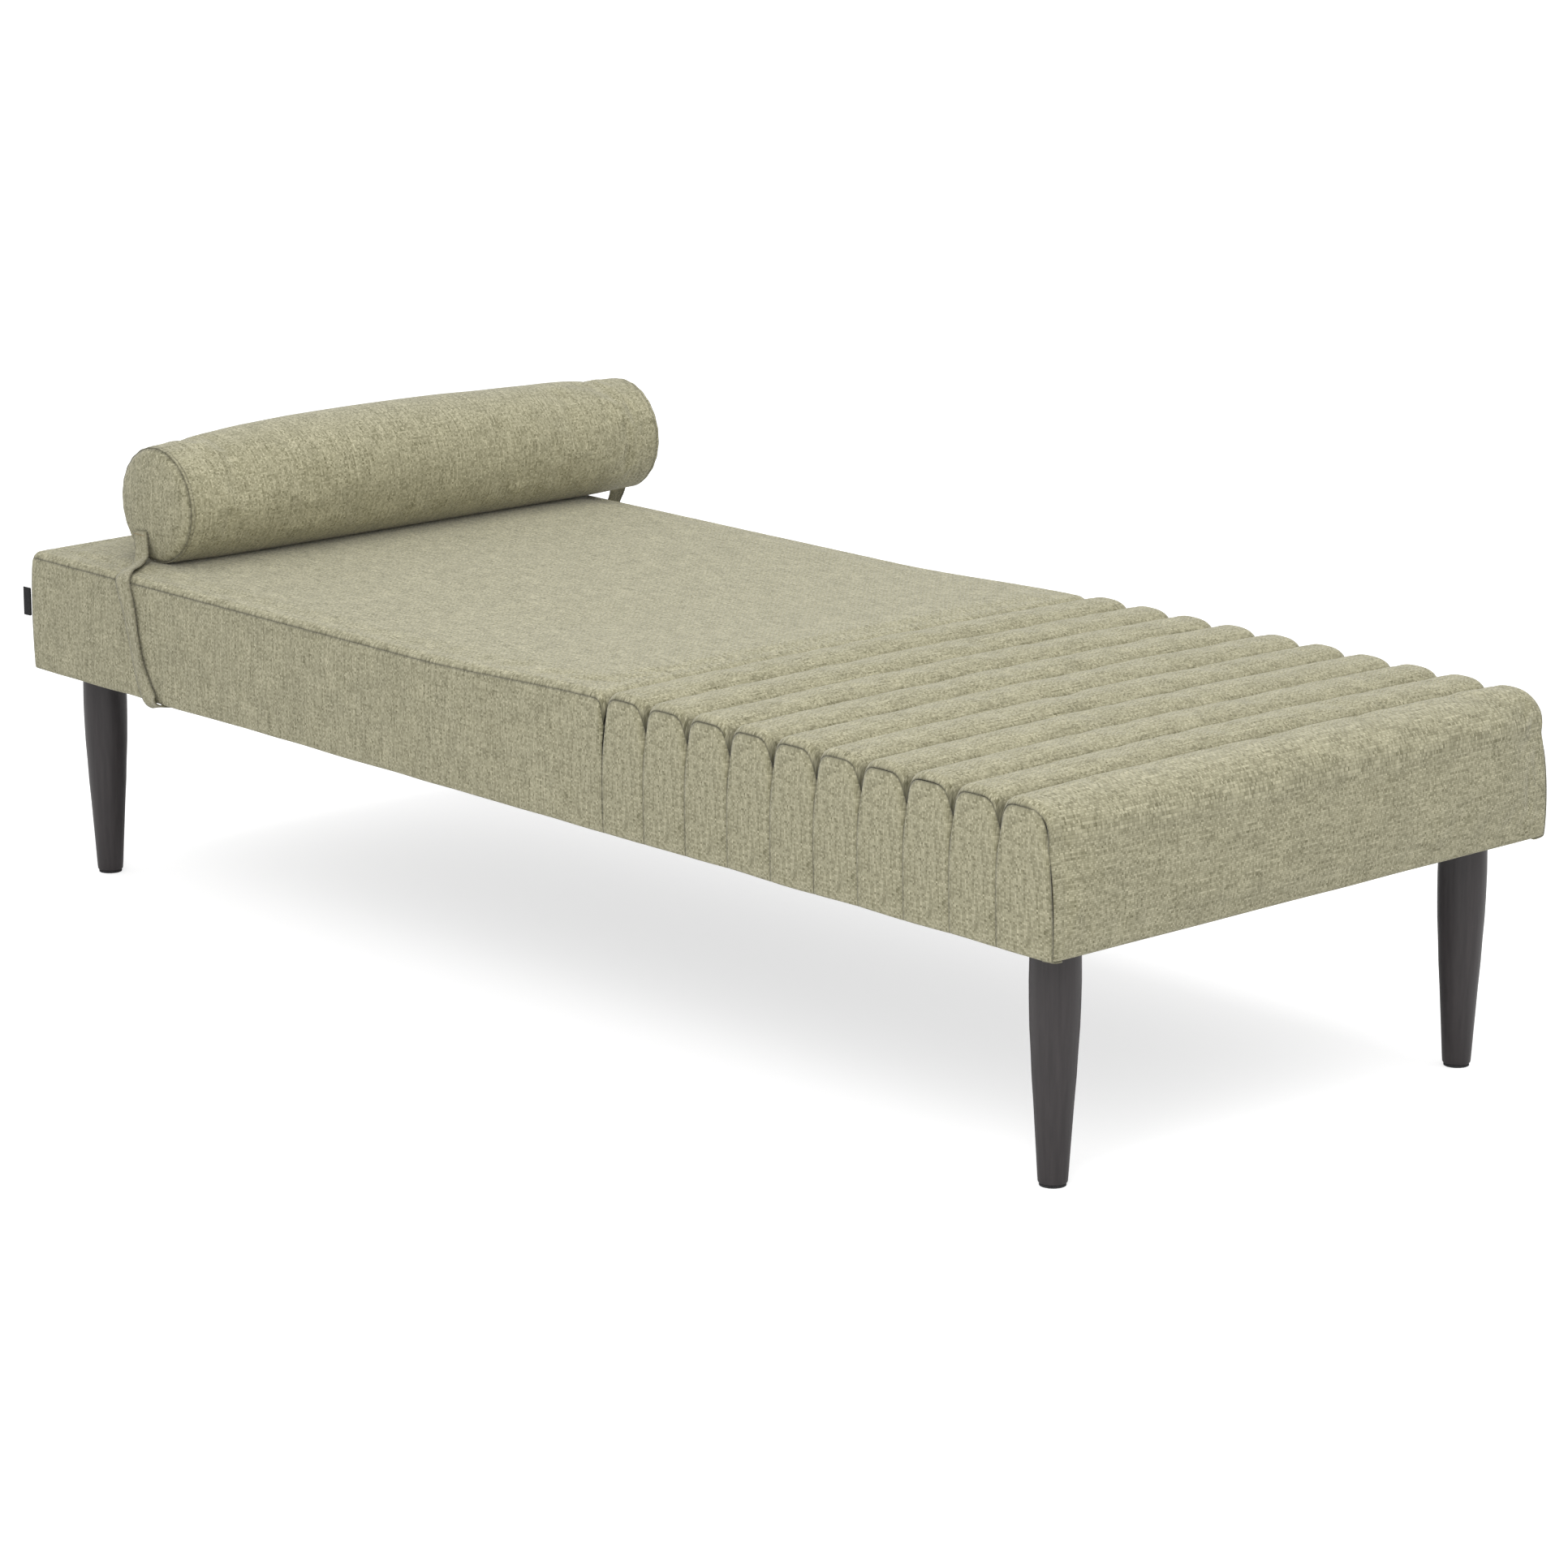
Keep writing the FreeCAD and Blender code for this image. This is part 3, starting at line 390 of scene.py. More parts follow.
def seatPoint(u, v):
    look, half = seatLook, body["halfWidth"]
    x = body["headX"] + (body["firstGroove"] - body["headX"]) * dense(u, look["lengthDense"])
    y = -half + 2 * half * dense(v, look["widthDense"])
    toHead, toSide, toGroove = x - body["headX"], half - abs(y), body["firstGroove"] - x
    z = topLevel(x, y)
    corner = look["corner"]
    if toHead < corner and toSide < corner:
        a, b = 1 - toHead / corner, 1 - toSide / corner
        a, b = a * sqrt(1 - b * b / 2), b * sqrt(1 - a * a / 2)
        x = body["headX"] + corner * (1 - a)
        y = (half - corner * (1 - b)) * signOf(y)
    edge = min(toHead, toSide)
    run = x if toSide < toHead else y
    depth, reach = look["pucker"]
    pucker = exp(-edge / reach) * depth * (look["puckerShare"] + ripple(x, y, look["puckerScale"], 1))
    z -= pucker * (1 + sin(2 * pi * run / look["puckerPitch"]))
    wave = look["waveDepth"] * ripple(x, y, look["waveScale"], 2)
    z += wave * ease(edge / look["waveStart"]) * ease(toGroove / look["waveStart"])
    tuck = fade(edge, *look["tuck"])
    if toSide <= toHead:
        y -= tuck * signOf(y)
    else:
        x += tuck
    # painted shade along the head and side seams and at the first groove
    paintedShade = fade(edge, *look["edgeShade"]) + fade(toGroove, *look["grooveShade"])
    return x, y, z - look["tuckDrop"] * tuck, y, x, paintedShade


def seatHeld(place):
    edge = min(place.x - body["headX"], body["halfWidth"] - abs(place.y), body["firstGroove"] - place.x)
    return 1 - swellLook["freeShare"] * ease(edge / seatLook["heldReach"])


seatCover = gridPiece("seatCover", seatLook["cells"], seatPoint, (0, 0, 1), "top")
inflate(seatCover, seatHeld, seatLook)
addLayers(seatCover)
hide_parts("seat_panel", "seat_foam")
print("seat cover made")

# Channel cover: ten ribs and the foot face in one piece
ribLook = {
    "ribCells": 12, "lastCells": 18, "faceCells": 20, "acrossCells": 84, "widthDense": 0.8, "ribDense": 0.5,
    "lastDense": 0.4, "ribArc": 98, "faceArc": 140, "pucker": (0.35, 9), "puckerPitch": 19, "puckerTurn": 2.1,
    "puckerShare": 0.5, "puckerScale": 40, "waveDepth": 0.9, "waveScale": 75, "waveStart": 25,
    "sideShade": (0.8, 1.6), "grooveShade": (0.9, 2.5), "tuck": (1.8, 2.2), "faceTuck": 0.5,
    "notchEnd": 0.3, "notchTuck": 5, "notchReach": (4, 6), "notchShade": 1.35, "notchShadeReach": (6, 14),
    "heldSide": 30, "heldGroove": 22, "heldPinch": 3, "heldLow": 8, "cap": 3, "grow": 0.006,
}
lastLook = {"crestStep": 1, "footStep": 1.5, "powers": (0.85, 0.75), "waveRise": 8, "length": 110}
faceLook = {
    "flat": 0.86, "length": 150, "waveDepth": 1.6, "waveScale": 90, "pinch": 0.8, "sidePinch": (4.5, 45),
    "pinchReach": 6, "dark": (0.35, 5), "hemDepth": 0.8, "hemScale": 110,
}
ribRows = ribLook["ribCells"] * (body["ribCount"] - 1)
coverRows = ribRows + ribLook["lastCells"] + ribLook["faceCells"]


def footX(y):
    side, middle = body["footX"]
    return side + (middle - side) * ease((body["halfWidth"] - abs(y)) / body["footEase"])


def footFace(y, z):
    down = min(max((body["pinchLevel"] - z) / (body["pinchLevel"] - body["low"]), 0), 1)
    bulge = body["footBulge"] * sin(pi * down) ** body["bulgePower"]
    return footX(y) + (body["footLowX"] - footX(y)) * down + bulge


# The next three give x, z, pattern u and painted shade for a row: on a rib, on the last one, on the foot
# face.
def ribRow(row, y):
    look = ribLook
    rib = min(int(row / look["ribCells"] + 1e-6), body["ribCount"] - 2)
    part = dense(row / look["ribCells"] - rib, look["ribDense"])
    part = min(max(part, 0), 1)
    x = body["firstGroove"] + body["pitch"] * (rib + part)
    z = topLevel(x, y, mixLevels(part, body["ribLevels"]))
    edge = min(part, 1 - part) * body["pitch"]
    z += look["waveDepth"] * ripple(x, y, look["waveScale"], 3 + rib) * ease(edge / look["waveStart"])
    turn = 2 * pi * y / look["puckerPitch"] + look["puckerTurn"] * rib
    pucker = fade(edge, *look["pucker"]) * (1 + sin(turn))
    z -= pucker * (look["puckerShare"] + ripple(x, y, look["puckerScale"], 5))
    # painted shade in the grooves between ribs
    return x, z, look["ribArc"] * (rib + part), fade(edge, *look["grooveShade"])


def lastRow(row, y):
    look = ribLook
    part = dense((row - ribRows) / look["lastCells"], look["lastDense"])
    crest = topLevel(lastRib, y, body["ribLevels"])
    top = lastRib + body["pitch"] / 2 + lastLook["crestStep"]
    if part <= 0.5:
        x = lastRib + (top - lastRib) * 2 * part
        z = topLevel(lastRib, y, mixLevels(part, body["ribLevels"]))
    else:
        turn = (part - 0.5) * pi
        outPower, downPower = lastLook["powers"]
        x = top + (footX(y) + lastLook["footStep"] - top) * sin(turn) ** outPower
        z = body["pinchLevel"] + (crest - body["pinchLevel"]) * max(cos(turn), 0) ** downPower
    wave = look["waveDepth"] * ripple(x, y, look["waveScale"], 13)
    z += wave * ease(part * (1 - part) * lastLook["waveRise"])
    run = look["ribArc"] * (body["ribCount"] - 1 + part)
    # painted shade at the last groove
    return x, z, run, fade(part * lastLook["length"], *look["grooveShade"])


def faceRow(row, y):
    look, low, curl = faceLook, body["low"], body["curl"]
    part = (row - ribRows - ribLook["lastCells"]) / ribLook["faceCells"]
    flat = look["flat"]
    if part <= flat:
        down = part / flat
        z = body["pinchLevel"] - (body["pinchLevel"] - low - curl) * down
        x = footFace(y, z)
        x += look["waveDepth"] * ripple(y, z, look["waveScale"], 21) * sin(pi * down)
        pinch = look["pinch"] + fade(body["halfWidth"] - abs(y), *look["sidePinch"])
        x -= bell(part * look["length"], pinch, look["pinchReach"])
    else:
        turn = (part - flat) / (1 - flat) * pi / 2
        turned, under = curlUnder(turn)
        x = footFace(y, low + curl) - turned - under
        z = low + curl * (1 - sin(turn))
    z += look["hemDepth"] * ripple(y, 0, look["hemScale"], 23) * part
    run = ribLook["ribArc"] * body["ribCount"] + ribLook["faceArc"] * part
    # painted shade just under the pinch at the top of the foot face
    return x, z, run, fade(part * look["length"], *look["dark"])


def ribPoint(u, v):
    look, half = ribLook, body["halfWidth"]
    y = -half + 2 * half * dense(v, look["widthDense"])
    toSide = half - abs(y)
    row = u * coverRows
    onFace = row > ribRows + look["lastCells"]
    rowPoint = faceRow if onFace else ribRow if row <= ribRows else lastRow
    x, z, run, dark = rowPoint(row, y)
    # painted shade along the side seams, together with the row's painted shade
    paintedShade = max(fade(toSide, *look["sideShade"]), dark)
    tuck = fade(toSide, *look["tuck"])
    if row <= ribRows + look["lastCells"] * look["notchEnd"]:
        part = ((x - body["firstGroove"]) / body["pitch"]) % 1
        toGroove = min(part, 1 - part) * body["pitch"]
        along, across = look["notchReach"]
        tuck += look["notchTuck"] * exp(-toGroove / along - toSide / across)
        # painted shade in the notches where the grooves meet the side seams
        along, across = look["notchShadeReach"]
        paintedShade = max(paintedShade, look["notchShade"] * exp(-((toGroove / along) ** 2) - toSide / across))
    y -= tuck * signOf(y)
    if onFace:
        x -= look["faceTuck"] * tuck
    return x, y, z, run, y, paintedShade


def ribHeld(place):
    toSide = body["halfWidth"] - abs(place.y)
    part = ((place.x - body["firstGroove"]) / body["pitch"]) % 1
    edge = min(part, 1 - part) * body["pitch"] if place.x < lastRib else place.x - lastRib
    if place.z < body["pinchLevel"] + ribLook["heldPinch"]:
        edge = place.z - body["low"] - ribLook["heldLow"]
    free = ease(min(toSide / ribLook["heldSide"], edge / ribLook["heldGroove"]))
    return 1 - swellLook["freeShare"] * free


channelCells = (coverRows, ribLook["acrossCells"])
channelCover = gridPiece("channelCover", channelCells, ribPoint, (0.4, 0, 1), "rib")
inflate(channelCover, ribHeld, ribLook)
addLayers(channelCover)
fillings = ["channel_filling_%02d" % (k + 1) for k in range(body["ribCount"])]
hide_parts("channel_panel", "border_foam_foot", *fillings)
print("channel cover made")

# Upright panels, which roll in at the seam above and under the body below
wallLook = {
    "rows": 26, "longCells": 150, "headCells": 100, "lengthDense": 0.75, "dropDense": 0.7, "flat": 0.84,
    "bow": 1.6, "bowPower": 0.8, "tuck": (1.8, 2.4), "waveDepth": 0.9, "waveScale": 95, "waveSquash": 0.6,
    "waveStart": 30, "pucker": (0.18, 14), "puckerPitch": 27, "seamShade": (0.8, 1.4),
    "hemDepth": 1.5, "hemScale": 90, "hemStart": 0.3, "endTuck": 2.2, "endReach": 3.2, "endShare": 0.12,
    "endDrop": (0.88, 14), "endShade": (0.6, 0.9), "notchShade": 6, "notchReach": (2.5, 9),
    "dimple": 1.1, "dimpleTuck": 3.4, "dimpleReach": 12, "dimpleDrop": 6, "dimpleSpread": 9,
}


def wallPoint(path, length, s, t, seed, endTuck):
    look, low, curl, flat = wallLook, body["low"], body["curl"], wallLook["flat"]
    x, y, outX, outY, top = path(s * length)
    toEnd = min(s, 1 - s) * length
    if t <= flat:
        down = dense(t / flat * 0.5, look["dropDense"]) * 2
        z = top - (top - low - curl) * down
        drop = top - z
        out = look["bow"] * sin(pi * down) ** look["bowPower"]
        out -= fade(drop, *look["tuck"])
        wave = look["waveDepth"] * ripple(x + y, z * look["waveSquash"], look["waveScale"], seed)
        out += wave * ease(drop / look["waveStart"])
        out -= fade(drop, *look["pucker"]) * (1 + sin(2 * pi * (x + y) / look["puckerPitch"] + seed))
        # painted shade just under the top seam
        run, paintedShade = -z, fade(drop, *look["seamShade"])
    else:
        turn = (t - flat) / (1 - flat) * pi / 2
        turned, under = curlUnder(turn)
        out = -turned - under
        z = low + curl * (1 - sin(turn))
        run, paintedShade = -z + curl * turn, 0
    start = look["hemStart"]
    z += look["hemDepth"] * ripple(x + y, 5, look["hemScale"], 33) * ease((t - start) / (1 - start))
    drop = top - z
    out -= fade(toEnd, endTuck, look["endReach"]) * (look["endShare"] + fade(drop, *look["endDrop"]))
    dimple = look["dimple"] * endTuck / look["dimpleTuck"]
    out -= fade(toEnd, dimple, look["dimpleReach"]) * bell(drop - look["dimpleDrop"], 1, look["dimpleSpread"])
    # painted shade at the panel ends and in the notch under the seam there
    along, below = look["notchReach"]
    notch = endTuck / look["notchShade"] * exp(-toEnd / along - drop / below)
    paintedShade = max(paintedShade, fade(toEnd, *look["endShade"]), notch)
    return x + outX * out, y + outY * out, z, s * length, run, paintedShade


def addWall(bm, cells, path, length, seed, outward):
    def place(u, v):
        return wallPoint(path, length, dense(u, wallLook["lengthDense"]), v, seed, wallLook["endTuck"])

    addGrid(bm, (cells, wallLook["rows"]), place, Vector(outward))


def sidePath(side):
    # from the first groove to the head along a long side, and round the corner to its seam
    radius, start, finish = body["cornerRadius"], body["firstGroove"], body["headX"]

    def path(run):
        x = start + (finish - start) * run / abs(finish - start)
        y, outX, outY = side * body["halfWidth"], 0, side
        bend = (body["headX"] + radius - x) / radius
        if bend > 0:
            turn = bend * pi / 4
            x = body["headX"] + radius - radius * sin(turn)
            y = side * (body["halfWidth"] - radius * (1 - cos(turn)))
            outX, outY = -sin(turn), side * cos(turn)
        return x, y, outX, outY, topLevels(max(x, body["headX"]))[0] - body["seamDrop"]

    return path


def headPath(run):
    radius, half = body["cornerRadius"], body["halfWidth"]
    y = -half + run
    x, outX, outY = body["headX"], -1, 0
    bend = (abs(y) - half + radius) / radius
    if bend > 0:
        turn = bend * pi / 4
        x = body["headX"] + radius * (1 - cos(turn))
        y = (half - radius + radius * sin(turn)) * signOf(y)
        outX, outY = -cos(turn), sin(turn) * signOf(y)
    return x, y, outX, outY, body["seatLevels"][0] - body["seamDrop"]


longRun = body["firstGroove"] - body["headX"]
for side, name, node, foam in (
    (-1, "frontPanel", "front_panel", "border_foam_front"),
    (1, "backPanel", "back_panel", "border_foam_back"),
):
    bm = bmesh.new()
    addWall(bm, wallLook["longCells"], sidePath(side), longRun, 31 + side, (0, side, 0))
    panel = toObject(name, bm, materials["side"])
    addLayers(panel)
    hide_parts(node, foam)

bm = bmesh.new()
addWall(bm, wallLook["headCells"], headPath, 2 * body["halfWidth"], 37, (-1, 0, 0))
headPanel = toObject("headPanel", bm, materials["side"])
addLayers(headPanel)
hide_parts("head_panel", "border_foam_head")

# Channel ends, whose seams sway a little, and the last of which reach to the foot face
capLook = {"cells": (16, 24), "dense": 0.75, "endTuck": 6, "sway": 1.6, "swayScale": 1.7, "footGap": 0.6}


def capPath(side, rib):
    first = body["firstGroove"] + body["pitch"] * rib

    def path(run):
        level = mixLevels(run / body["pitch"], body["ribLevels"])[0]
        return first + run, side * body["halfWidth"], 0, side, level - body["seamDrop"]

    return path


def capPoint(side, rib, u, v):
    look, path, seed = capLook, capPath(side, rib), 41 + rib * 3 + side
    point = list(wallPoint(path, body["pitch"], dense(u, look["dense"]), v, seed, look["endTuck"]))
    shift = look["sway"] * sin(pi * v) * ripple(rib + (u > 0.5), side * 3, look["swayScale"], 57)
    point[0] += shift * (1 if 0 < rib + round(u) < body["ribCount"] else 0) * abs(2 * u - 1)
    if rib == body["ribCount"] - 1:
        reach = footFace(body["halfWidth"], point[2]) - look["footGap"] - lastRib
        point[0] = lastRib + (point[0] - lastRib) * reach / body["pitch"]
    return point


def addCaps(side, name, node):
    bm = bmesh.new()
    for rib in range(body["ribCount"]):
        addGrid(bm, capLook["cells"], lambda u, v, rib=rib: capPoint(side, rib, u, v), Vector((0, side, 0)))
    caps = toObject(name, bm, materials["side"])
    addLayers(caps)
    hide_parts(node)


addCaps(-1, "frontChannelEnds", "front_channel_ends")
addCaps(1, "backChannelEnds", "back_channel_ends")
print("panels made")


# Dust cover and hem under the body
flatWave = {"depth": 0.25, "scale": 140}


def flatPoint(look):
    def place(u, v):
        x, y = (u - 0.5) * look["size"][0], (v - 0.5) * look["size"][1]
        z = look["level"] - look["sag"] * (1 - (2 * v - 1) ** 2) * (1 - (2 * u - 1) ** 8)
        z += flatWave["depth"] * ripple(x, y, flatWave["scale"], look["seed"])
        return x, y, z, x, y, 0

    return place


legLook = {
    "x": 885, "y": 331, "hole": 29.5, "reach": 62, "cut": 21, "cutRim": 18, "low": 3.2, "high": 276,
    "footRound": 2.2, "roundSteps": 4, "footTaper": (0.6, 10), "heights": 36, "steps": 64,
    "radii": ((13, 17.2), (41, 18.9), (69, 20.7), (96, 22.4), (124, 24.5), (151, 25.8), (179, 27.5),
              (206, 28.3), (233, 28.7), (250, 28.4), (262, 28.2), (276, 28.2)),
}
legCentres = [(x * legLook["x"], y * legLook["y"]) for x in (-1, 1) for y in (-1, 1)]
dustLook = {
    "size": (1864, 764), "cells": (186, 76), "level": 273.9, "sag": 1.0, "seed": 61, "thickness": 0.6,
}

bm = bmesh.new()
addGrid(bm, dustLook["cells"], flatPoint(dustLook), Vector((0, 0, -1)))
holes = [Vector((x / 1000, y / 1000, 0)) for x, y in legCentres]
reach, hole, cut, cutRim = (legLook[key] / 1000 for key in ("reach", "hole", "cut", "cutRim"))
inside = [f for f in bm.faces if min((f.calc_center_median().xy - c.xy).length for c in holes) < cut]
bmesh.ops.delete(bm, geom=inside, context="FACES")
for vert in bm.verts:
    centre = min(holes, key=lambda c: (vert.co.xy - c.xy).length)
    away = vert.co.xy - centre.xy
    if away.length < reach:
        part = 0 if vert.is_boundary else (away.length - cutRim) / (reach - cutRim)
        vert.co.xy = centre.xy + away.normalized() * (hole + (reach - hole) * max(part, 0))
dustCover = toObject("dustCover", bm, materials["blackCloth"], "daybed")
addLayers(dustCover, 0, dustLook["thickness"])
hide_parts("dust_cover")

hemLook = {"outer": (941, 391), "inner": (915, 374), "level": 275.2, "cuts": 40, "thickness": 1.0,
           "cutLength": 5.3}
bm = bmesh.new()
weave = bm.loops.layers.uv.new("weave")
bmesh.ops.create_grid(bm, x_segments=1, y_segments=1, size=1)
outerX, outerY = (value / 1000 for value in hemLook["outer"])
innerX, innerY = (value / 1000 for value in hemLook["inner"])
bmesh.ops.scale(bm, vec=[outerX, outerY, 1], verts=bm.verts)
bmesh.ops.subdivide_edges(bm, edges=bm.edges, cuts=hemLook["cuts"], use_grid_fill=True)
for vert in bm.verts:
    vert.co.z = hemLook["level"] / 1000
middles = [(face, face.calc_center_median()) for face in bm.faces]
inner = [face for face, spot in middles if abs(spot.x) < innerX and abs(spot.y) < innerY]
bmesh.ops.delete(bm, geom=inner, context="FACES")
for face in bm.faces:
    for loop in face.loops:
        loop[weave].uv = loop.vert.co.xy
if sum(face.normal.z for face in bm.faces) > 0:
    bmesh.ops.reverse_faces(bm, faces=bm.faces)
hemArea = sum(face.calc_area() for face in bm.faces)
coverHem = toObject("coverHem", bm, materials["hem"])
addLayers(coverHem, 0, hemLook["thickness"])
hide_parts("cover_hem")

# Elastic bands, woven through each other, and the deck cloth on them
bandLook = {
    "width": 60, "pitch": 160, "crossCount": 11, "crossLength": 780, "longCount": 4, "longLength": 1880,
    "cell": 20, "acrossCells": 3, "level": 367.4, "lift": 0.9, "thickness": 1.2,
}
deckLook = {
    "size": (1880, 780), "cells": (94, 39), "level": 369.6, "sag": 0.3, "seed": 71, "thickness": 0.5,
}


def addBands(name, node, count, otherCount, length, turned):
    bm = bmesh.new()
    for k in range(count):
        middle = (k - (count - 1) / 2) * bandLook["pitch"]

        def place(u, v, middle=middle, k=k):
            run = (u - 0.5) * length
            near = run / bandLook["pitch"] + (otherCount - 1) / 2
            lift = bandLook["lift"] * cos(pi * (near + k)) * (-1 if turned else 1)
            across = middle + (v - 0.5) * bandLook["width"]
            spot = (run, across) if turned else (across, run)
            return *spot, bandLook["level"] + lift, across, run, 0

        addGrid(bm, (round(length / bandLook["cell"]), bandLook["acrossCells"]), place, Vector((0, 0, 1)))
    bands = toObject(name, bm, materials["webbing"], "daybed")
    addLayers(bands, 0, bandLook["thickness"])
    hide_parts(node)


crossCount, longCount = bandLook["crossCount"], bandLook["longCount"]
addBands("crossBands", "cross_bands", crossCount, longCount, bandLook["crossLength"], False)
addBands("longBands", "long_bands", longCount, crossCount, bandLook["longLength"], True)

deckCloth = gridPiece("deckCloth", deckLook["cells"], flatPoint(deckLook), (0, 0, 1), "blackCloth", "daybed")
addLayers(deckCloth, 0, deckLook["thickness"])
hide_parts("deck_cloth")
print("bands and cloths made")


# Turned and round pieces
def spinProfile(bm, profile, steps, centre, axis):
    # profile: (radius, height along axis) from one pole to the other
    side = Vector((1, 0, 0))
    verts = [bm.verts.new(centre + side * (r / 1000) + axis * (h / 1000)) for r, h in profile]
    edges = [bm.edges.new(pair) for pair in zip(verts, verts[1:])]
    bmesh.ops.spin(bm, geom=verts + edges, cent=centre, axis=axis, dvec=(0, 0, 0), angle=2 * pi, steps=steps,
                   use_merge=True)
    bmesh.ops.remove_doubles(bm, verts=bm.verts, dist=1e-5)
    bmesh.ops.recalc_face_normals(bm, faces=bm.faces)


def legRadius(z):
    radii = legLook["radii"]
    if z <= radii[0][0]:
        thinner, run = legLook["footTaper"]
        return radii[0][1] - thinner * (radii[0][0] - z) / run
    for (z0, r0), (z1, r1) in zip(radii, radii[1:]):
        if z <= z1:
            return r0 + (r1 - r0) * (z - z0) / (z1 - z0)
    return radii[-1][1]


for x, y in legCentres:
    end, hand = "head" if x < 0 else "foot", "front" if y < 0 else "back"
    low, high, soft = legLook["low"], legLook["high"], legLook["footRound"]
    roundSteps, heights = legLook["roundSteps"], legLook["heights"]
    profile = [(0, low), (legRadius(low) - soft, low)]
    for k in range(1, roundSteps + 1):
        turn = k * pi / (2 * roundSteps)
        profile.append((legRadius(low) - soft + soft * sin(turn), low + soft * (1 - cos(turn))))
    levels = [low + soft + (high - low - soft) * k / heights for k in range(1, heights + 1)]
    profile += [(legRadius(z), z) for z in levels]
    profile.append((0, high))
    bm = bmesh.new()
    spinProfile(bm, profile, legLook["steps"], Vector((x / 1000, y / 1000, 0)), Vector((0, 0, 1)))
    leg = toObject("leg" + end.title() + hand.title(), bm, materials["stained"], "daybed")
    name = "leg_%s_%s" % (end, hand)
    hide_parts(name)

# Bolster: roll and two domed ends
rollLook = {
    "x": -751, "middle": (-751, 58, 515), "front": -334, "back": 450, "low": 434.8, "endLow": 437,
    "endEase": 90, "axis": 509.6, "wide": 0.985, "rest": (0.9, 5), "skinShare": 0.9, "around": 120,
    "along": 96, "lengthDense": 0.88, "weaveRadius": 84,
    "tops": ((-334, 78.6), (-259, 82), (-180, 87), (-101, 90), (61, 90), (143, 88), (226, 86), (311, 83),
             (396, 80), (450, 78.6)),
    "seamGap": 4.5, "seamDepth": 1.1, "seamReach": 1.6, "innerSeam": (0.8, 1.3), "seamShade": (0.75, 1.3),
    "innerShade": (0.6, 1.1), "upperStart": 440, "upperRise": 20, "waveDepth": 1.1, "waveTurn": 30,
    "waveSquash": 0.5, "waveScale": 45, "waveStart": 50, "wavePower": 0.2, "pucker": (0.45, 22),
    "puckerCount": 24, "heldEnd": 45, "heldLow": 445, "heldRise": 30, "cap": 3, "grow": 0.006,
}
endLook = {
    "rings": 26, "ringPower": 1.7, "radius": 78, "around": 120, "dome": 11, "domePower": 0.55,
    "domeStep": 0.5, "waveDepth": 0.8, "waveScale": 38, "waveStart": 20, "pucker": (0.5, 12),
    "puckerCount": 22, "tuck": (2.0, 1.8), "least": -1.5, "dark": (0.8, 1.5),
}


def rollTop(y):
    tops = rollLook["tops"]
    for (y0, r0), (y1, r1) in zip(tops, tops[1:]):
        if y <= y1:
            eased = (r1 - r0) * ease((y - y0) / (y1 - y0)) * 0.5
            return r0 + eased + (r1 - r0) * (y - y0) / (y1 - y0) * 0.5
    return tops[-1][1]


def rollPoint(turn, y, share=1.0):
    # share 0 is the middle of the section, and 1 its outline
    look = rollLook
    reach = rollTop(min(max(y, look["front"]), look["back"]))
    toEnd = min(y - look["front"], look["back"] - y)
    low = look["endLow"] + (look["low"] - look["endLow"]) * ease(toEnd / look["endEase"])
    top = look["axis"] + reach
    half = (top - low) / 2
    x = reach * look["wide"] * share * cos(turn)
    z = (top + low) / 2 + half * share * sin(turn)
    rest = low + fade(z - low, *look["rest"])
    return look["x"] + x, max(z, rest) if share > look["skinShare"] else z


def rollPlace(u, v):
    look = rollLook
    y = look["front"] + (look["back"] - look["front"]) * dense(v, look["lengthDense"])
    turn = 2 * pi * u
    x, z = rollPoint(turn, y)
    toEnd = min(y - look["front"], look["back"] - y)
    toSeam = toEnd - look["seamGap"]
    out = -look["seamDepth"] * (bell(toEnd, 1, look["seamReach"]) + bell(toSeam, *look["innerSeam"]))
    upper = ease((z - look["upperStart"]) / look["upperRise"])
    wave = look["waveDepth"] * ripple(turn * look["waveTurn"], y * look["waveSquash"], look["waveScale"], 81)
    out += wave * ease(toEnd / look["waveStart"]) * upper * sin(pi * u) ** look["wavePower"]
    out -= fade(toEnd, *look["pucker"]) * (1 + sin(look["puckerCount"] * turn)) * upper
    x += out * cos(turn)
    z += out * sin(turn) * upper
    # painted shade at the rim seam and at the seam just inside it
    paintedShade = bell(toEnd, *look["seamShade"]) + bell(toSeam, *look["innerShade"])
    return x, y, z, y, look["weaveRadius"] * turn, paintedShade


def rollHeld(place):
    toEnd = min(place.y - rollLook["front"], rollLook["back"] - place.y)
    rise = ease((place.z - rollLook["heldLow"]) / rollLook["heldRise"])
    return 1 - swellLook["freeShare"] * ease(toEnd / rollLook["heldEnd"]) * rise


bm = bmesh.new()
addGrid(bm, (rollLook["around"], rollLook["along"]), rollPlace, Vector((0, 0, 0)))
bmesh.ops.remove_doubles(bm, verts=bm.verts, dist=1e-5)
bmesh.ops.recalc_face_normals(bm, faces=bm.faces)
rollMiddle = Vector(rollLook["middle"]) / 1000
if sum(f.normal.dot(f.calc_center_median() - rollMiddle) for f in bm.faces) < 0:
    bmesh.ops.reverse_faces(bm, faces=bm.faces)
bolsterRoll = toObject("bolsterRoll", bm, materials["roll"], "bolster")
inflate(bolsterRoll, rollHeld, rollLook)
addLayers(bolsterRoll)
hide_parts("bolster_cover", "bolster_core")


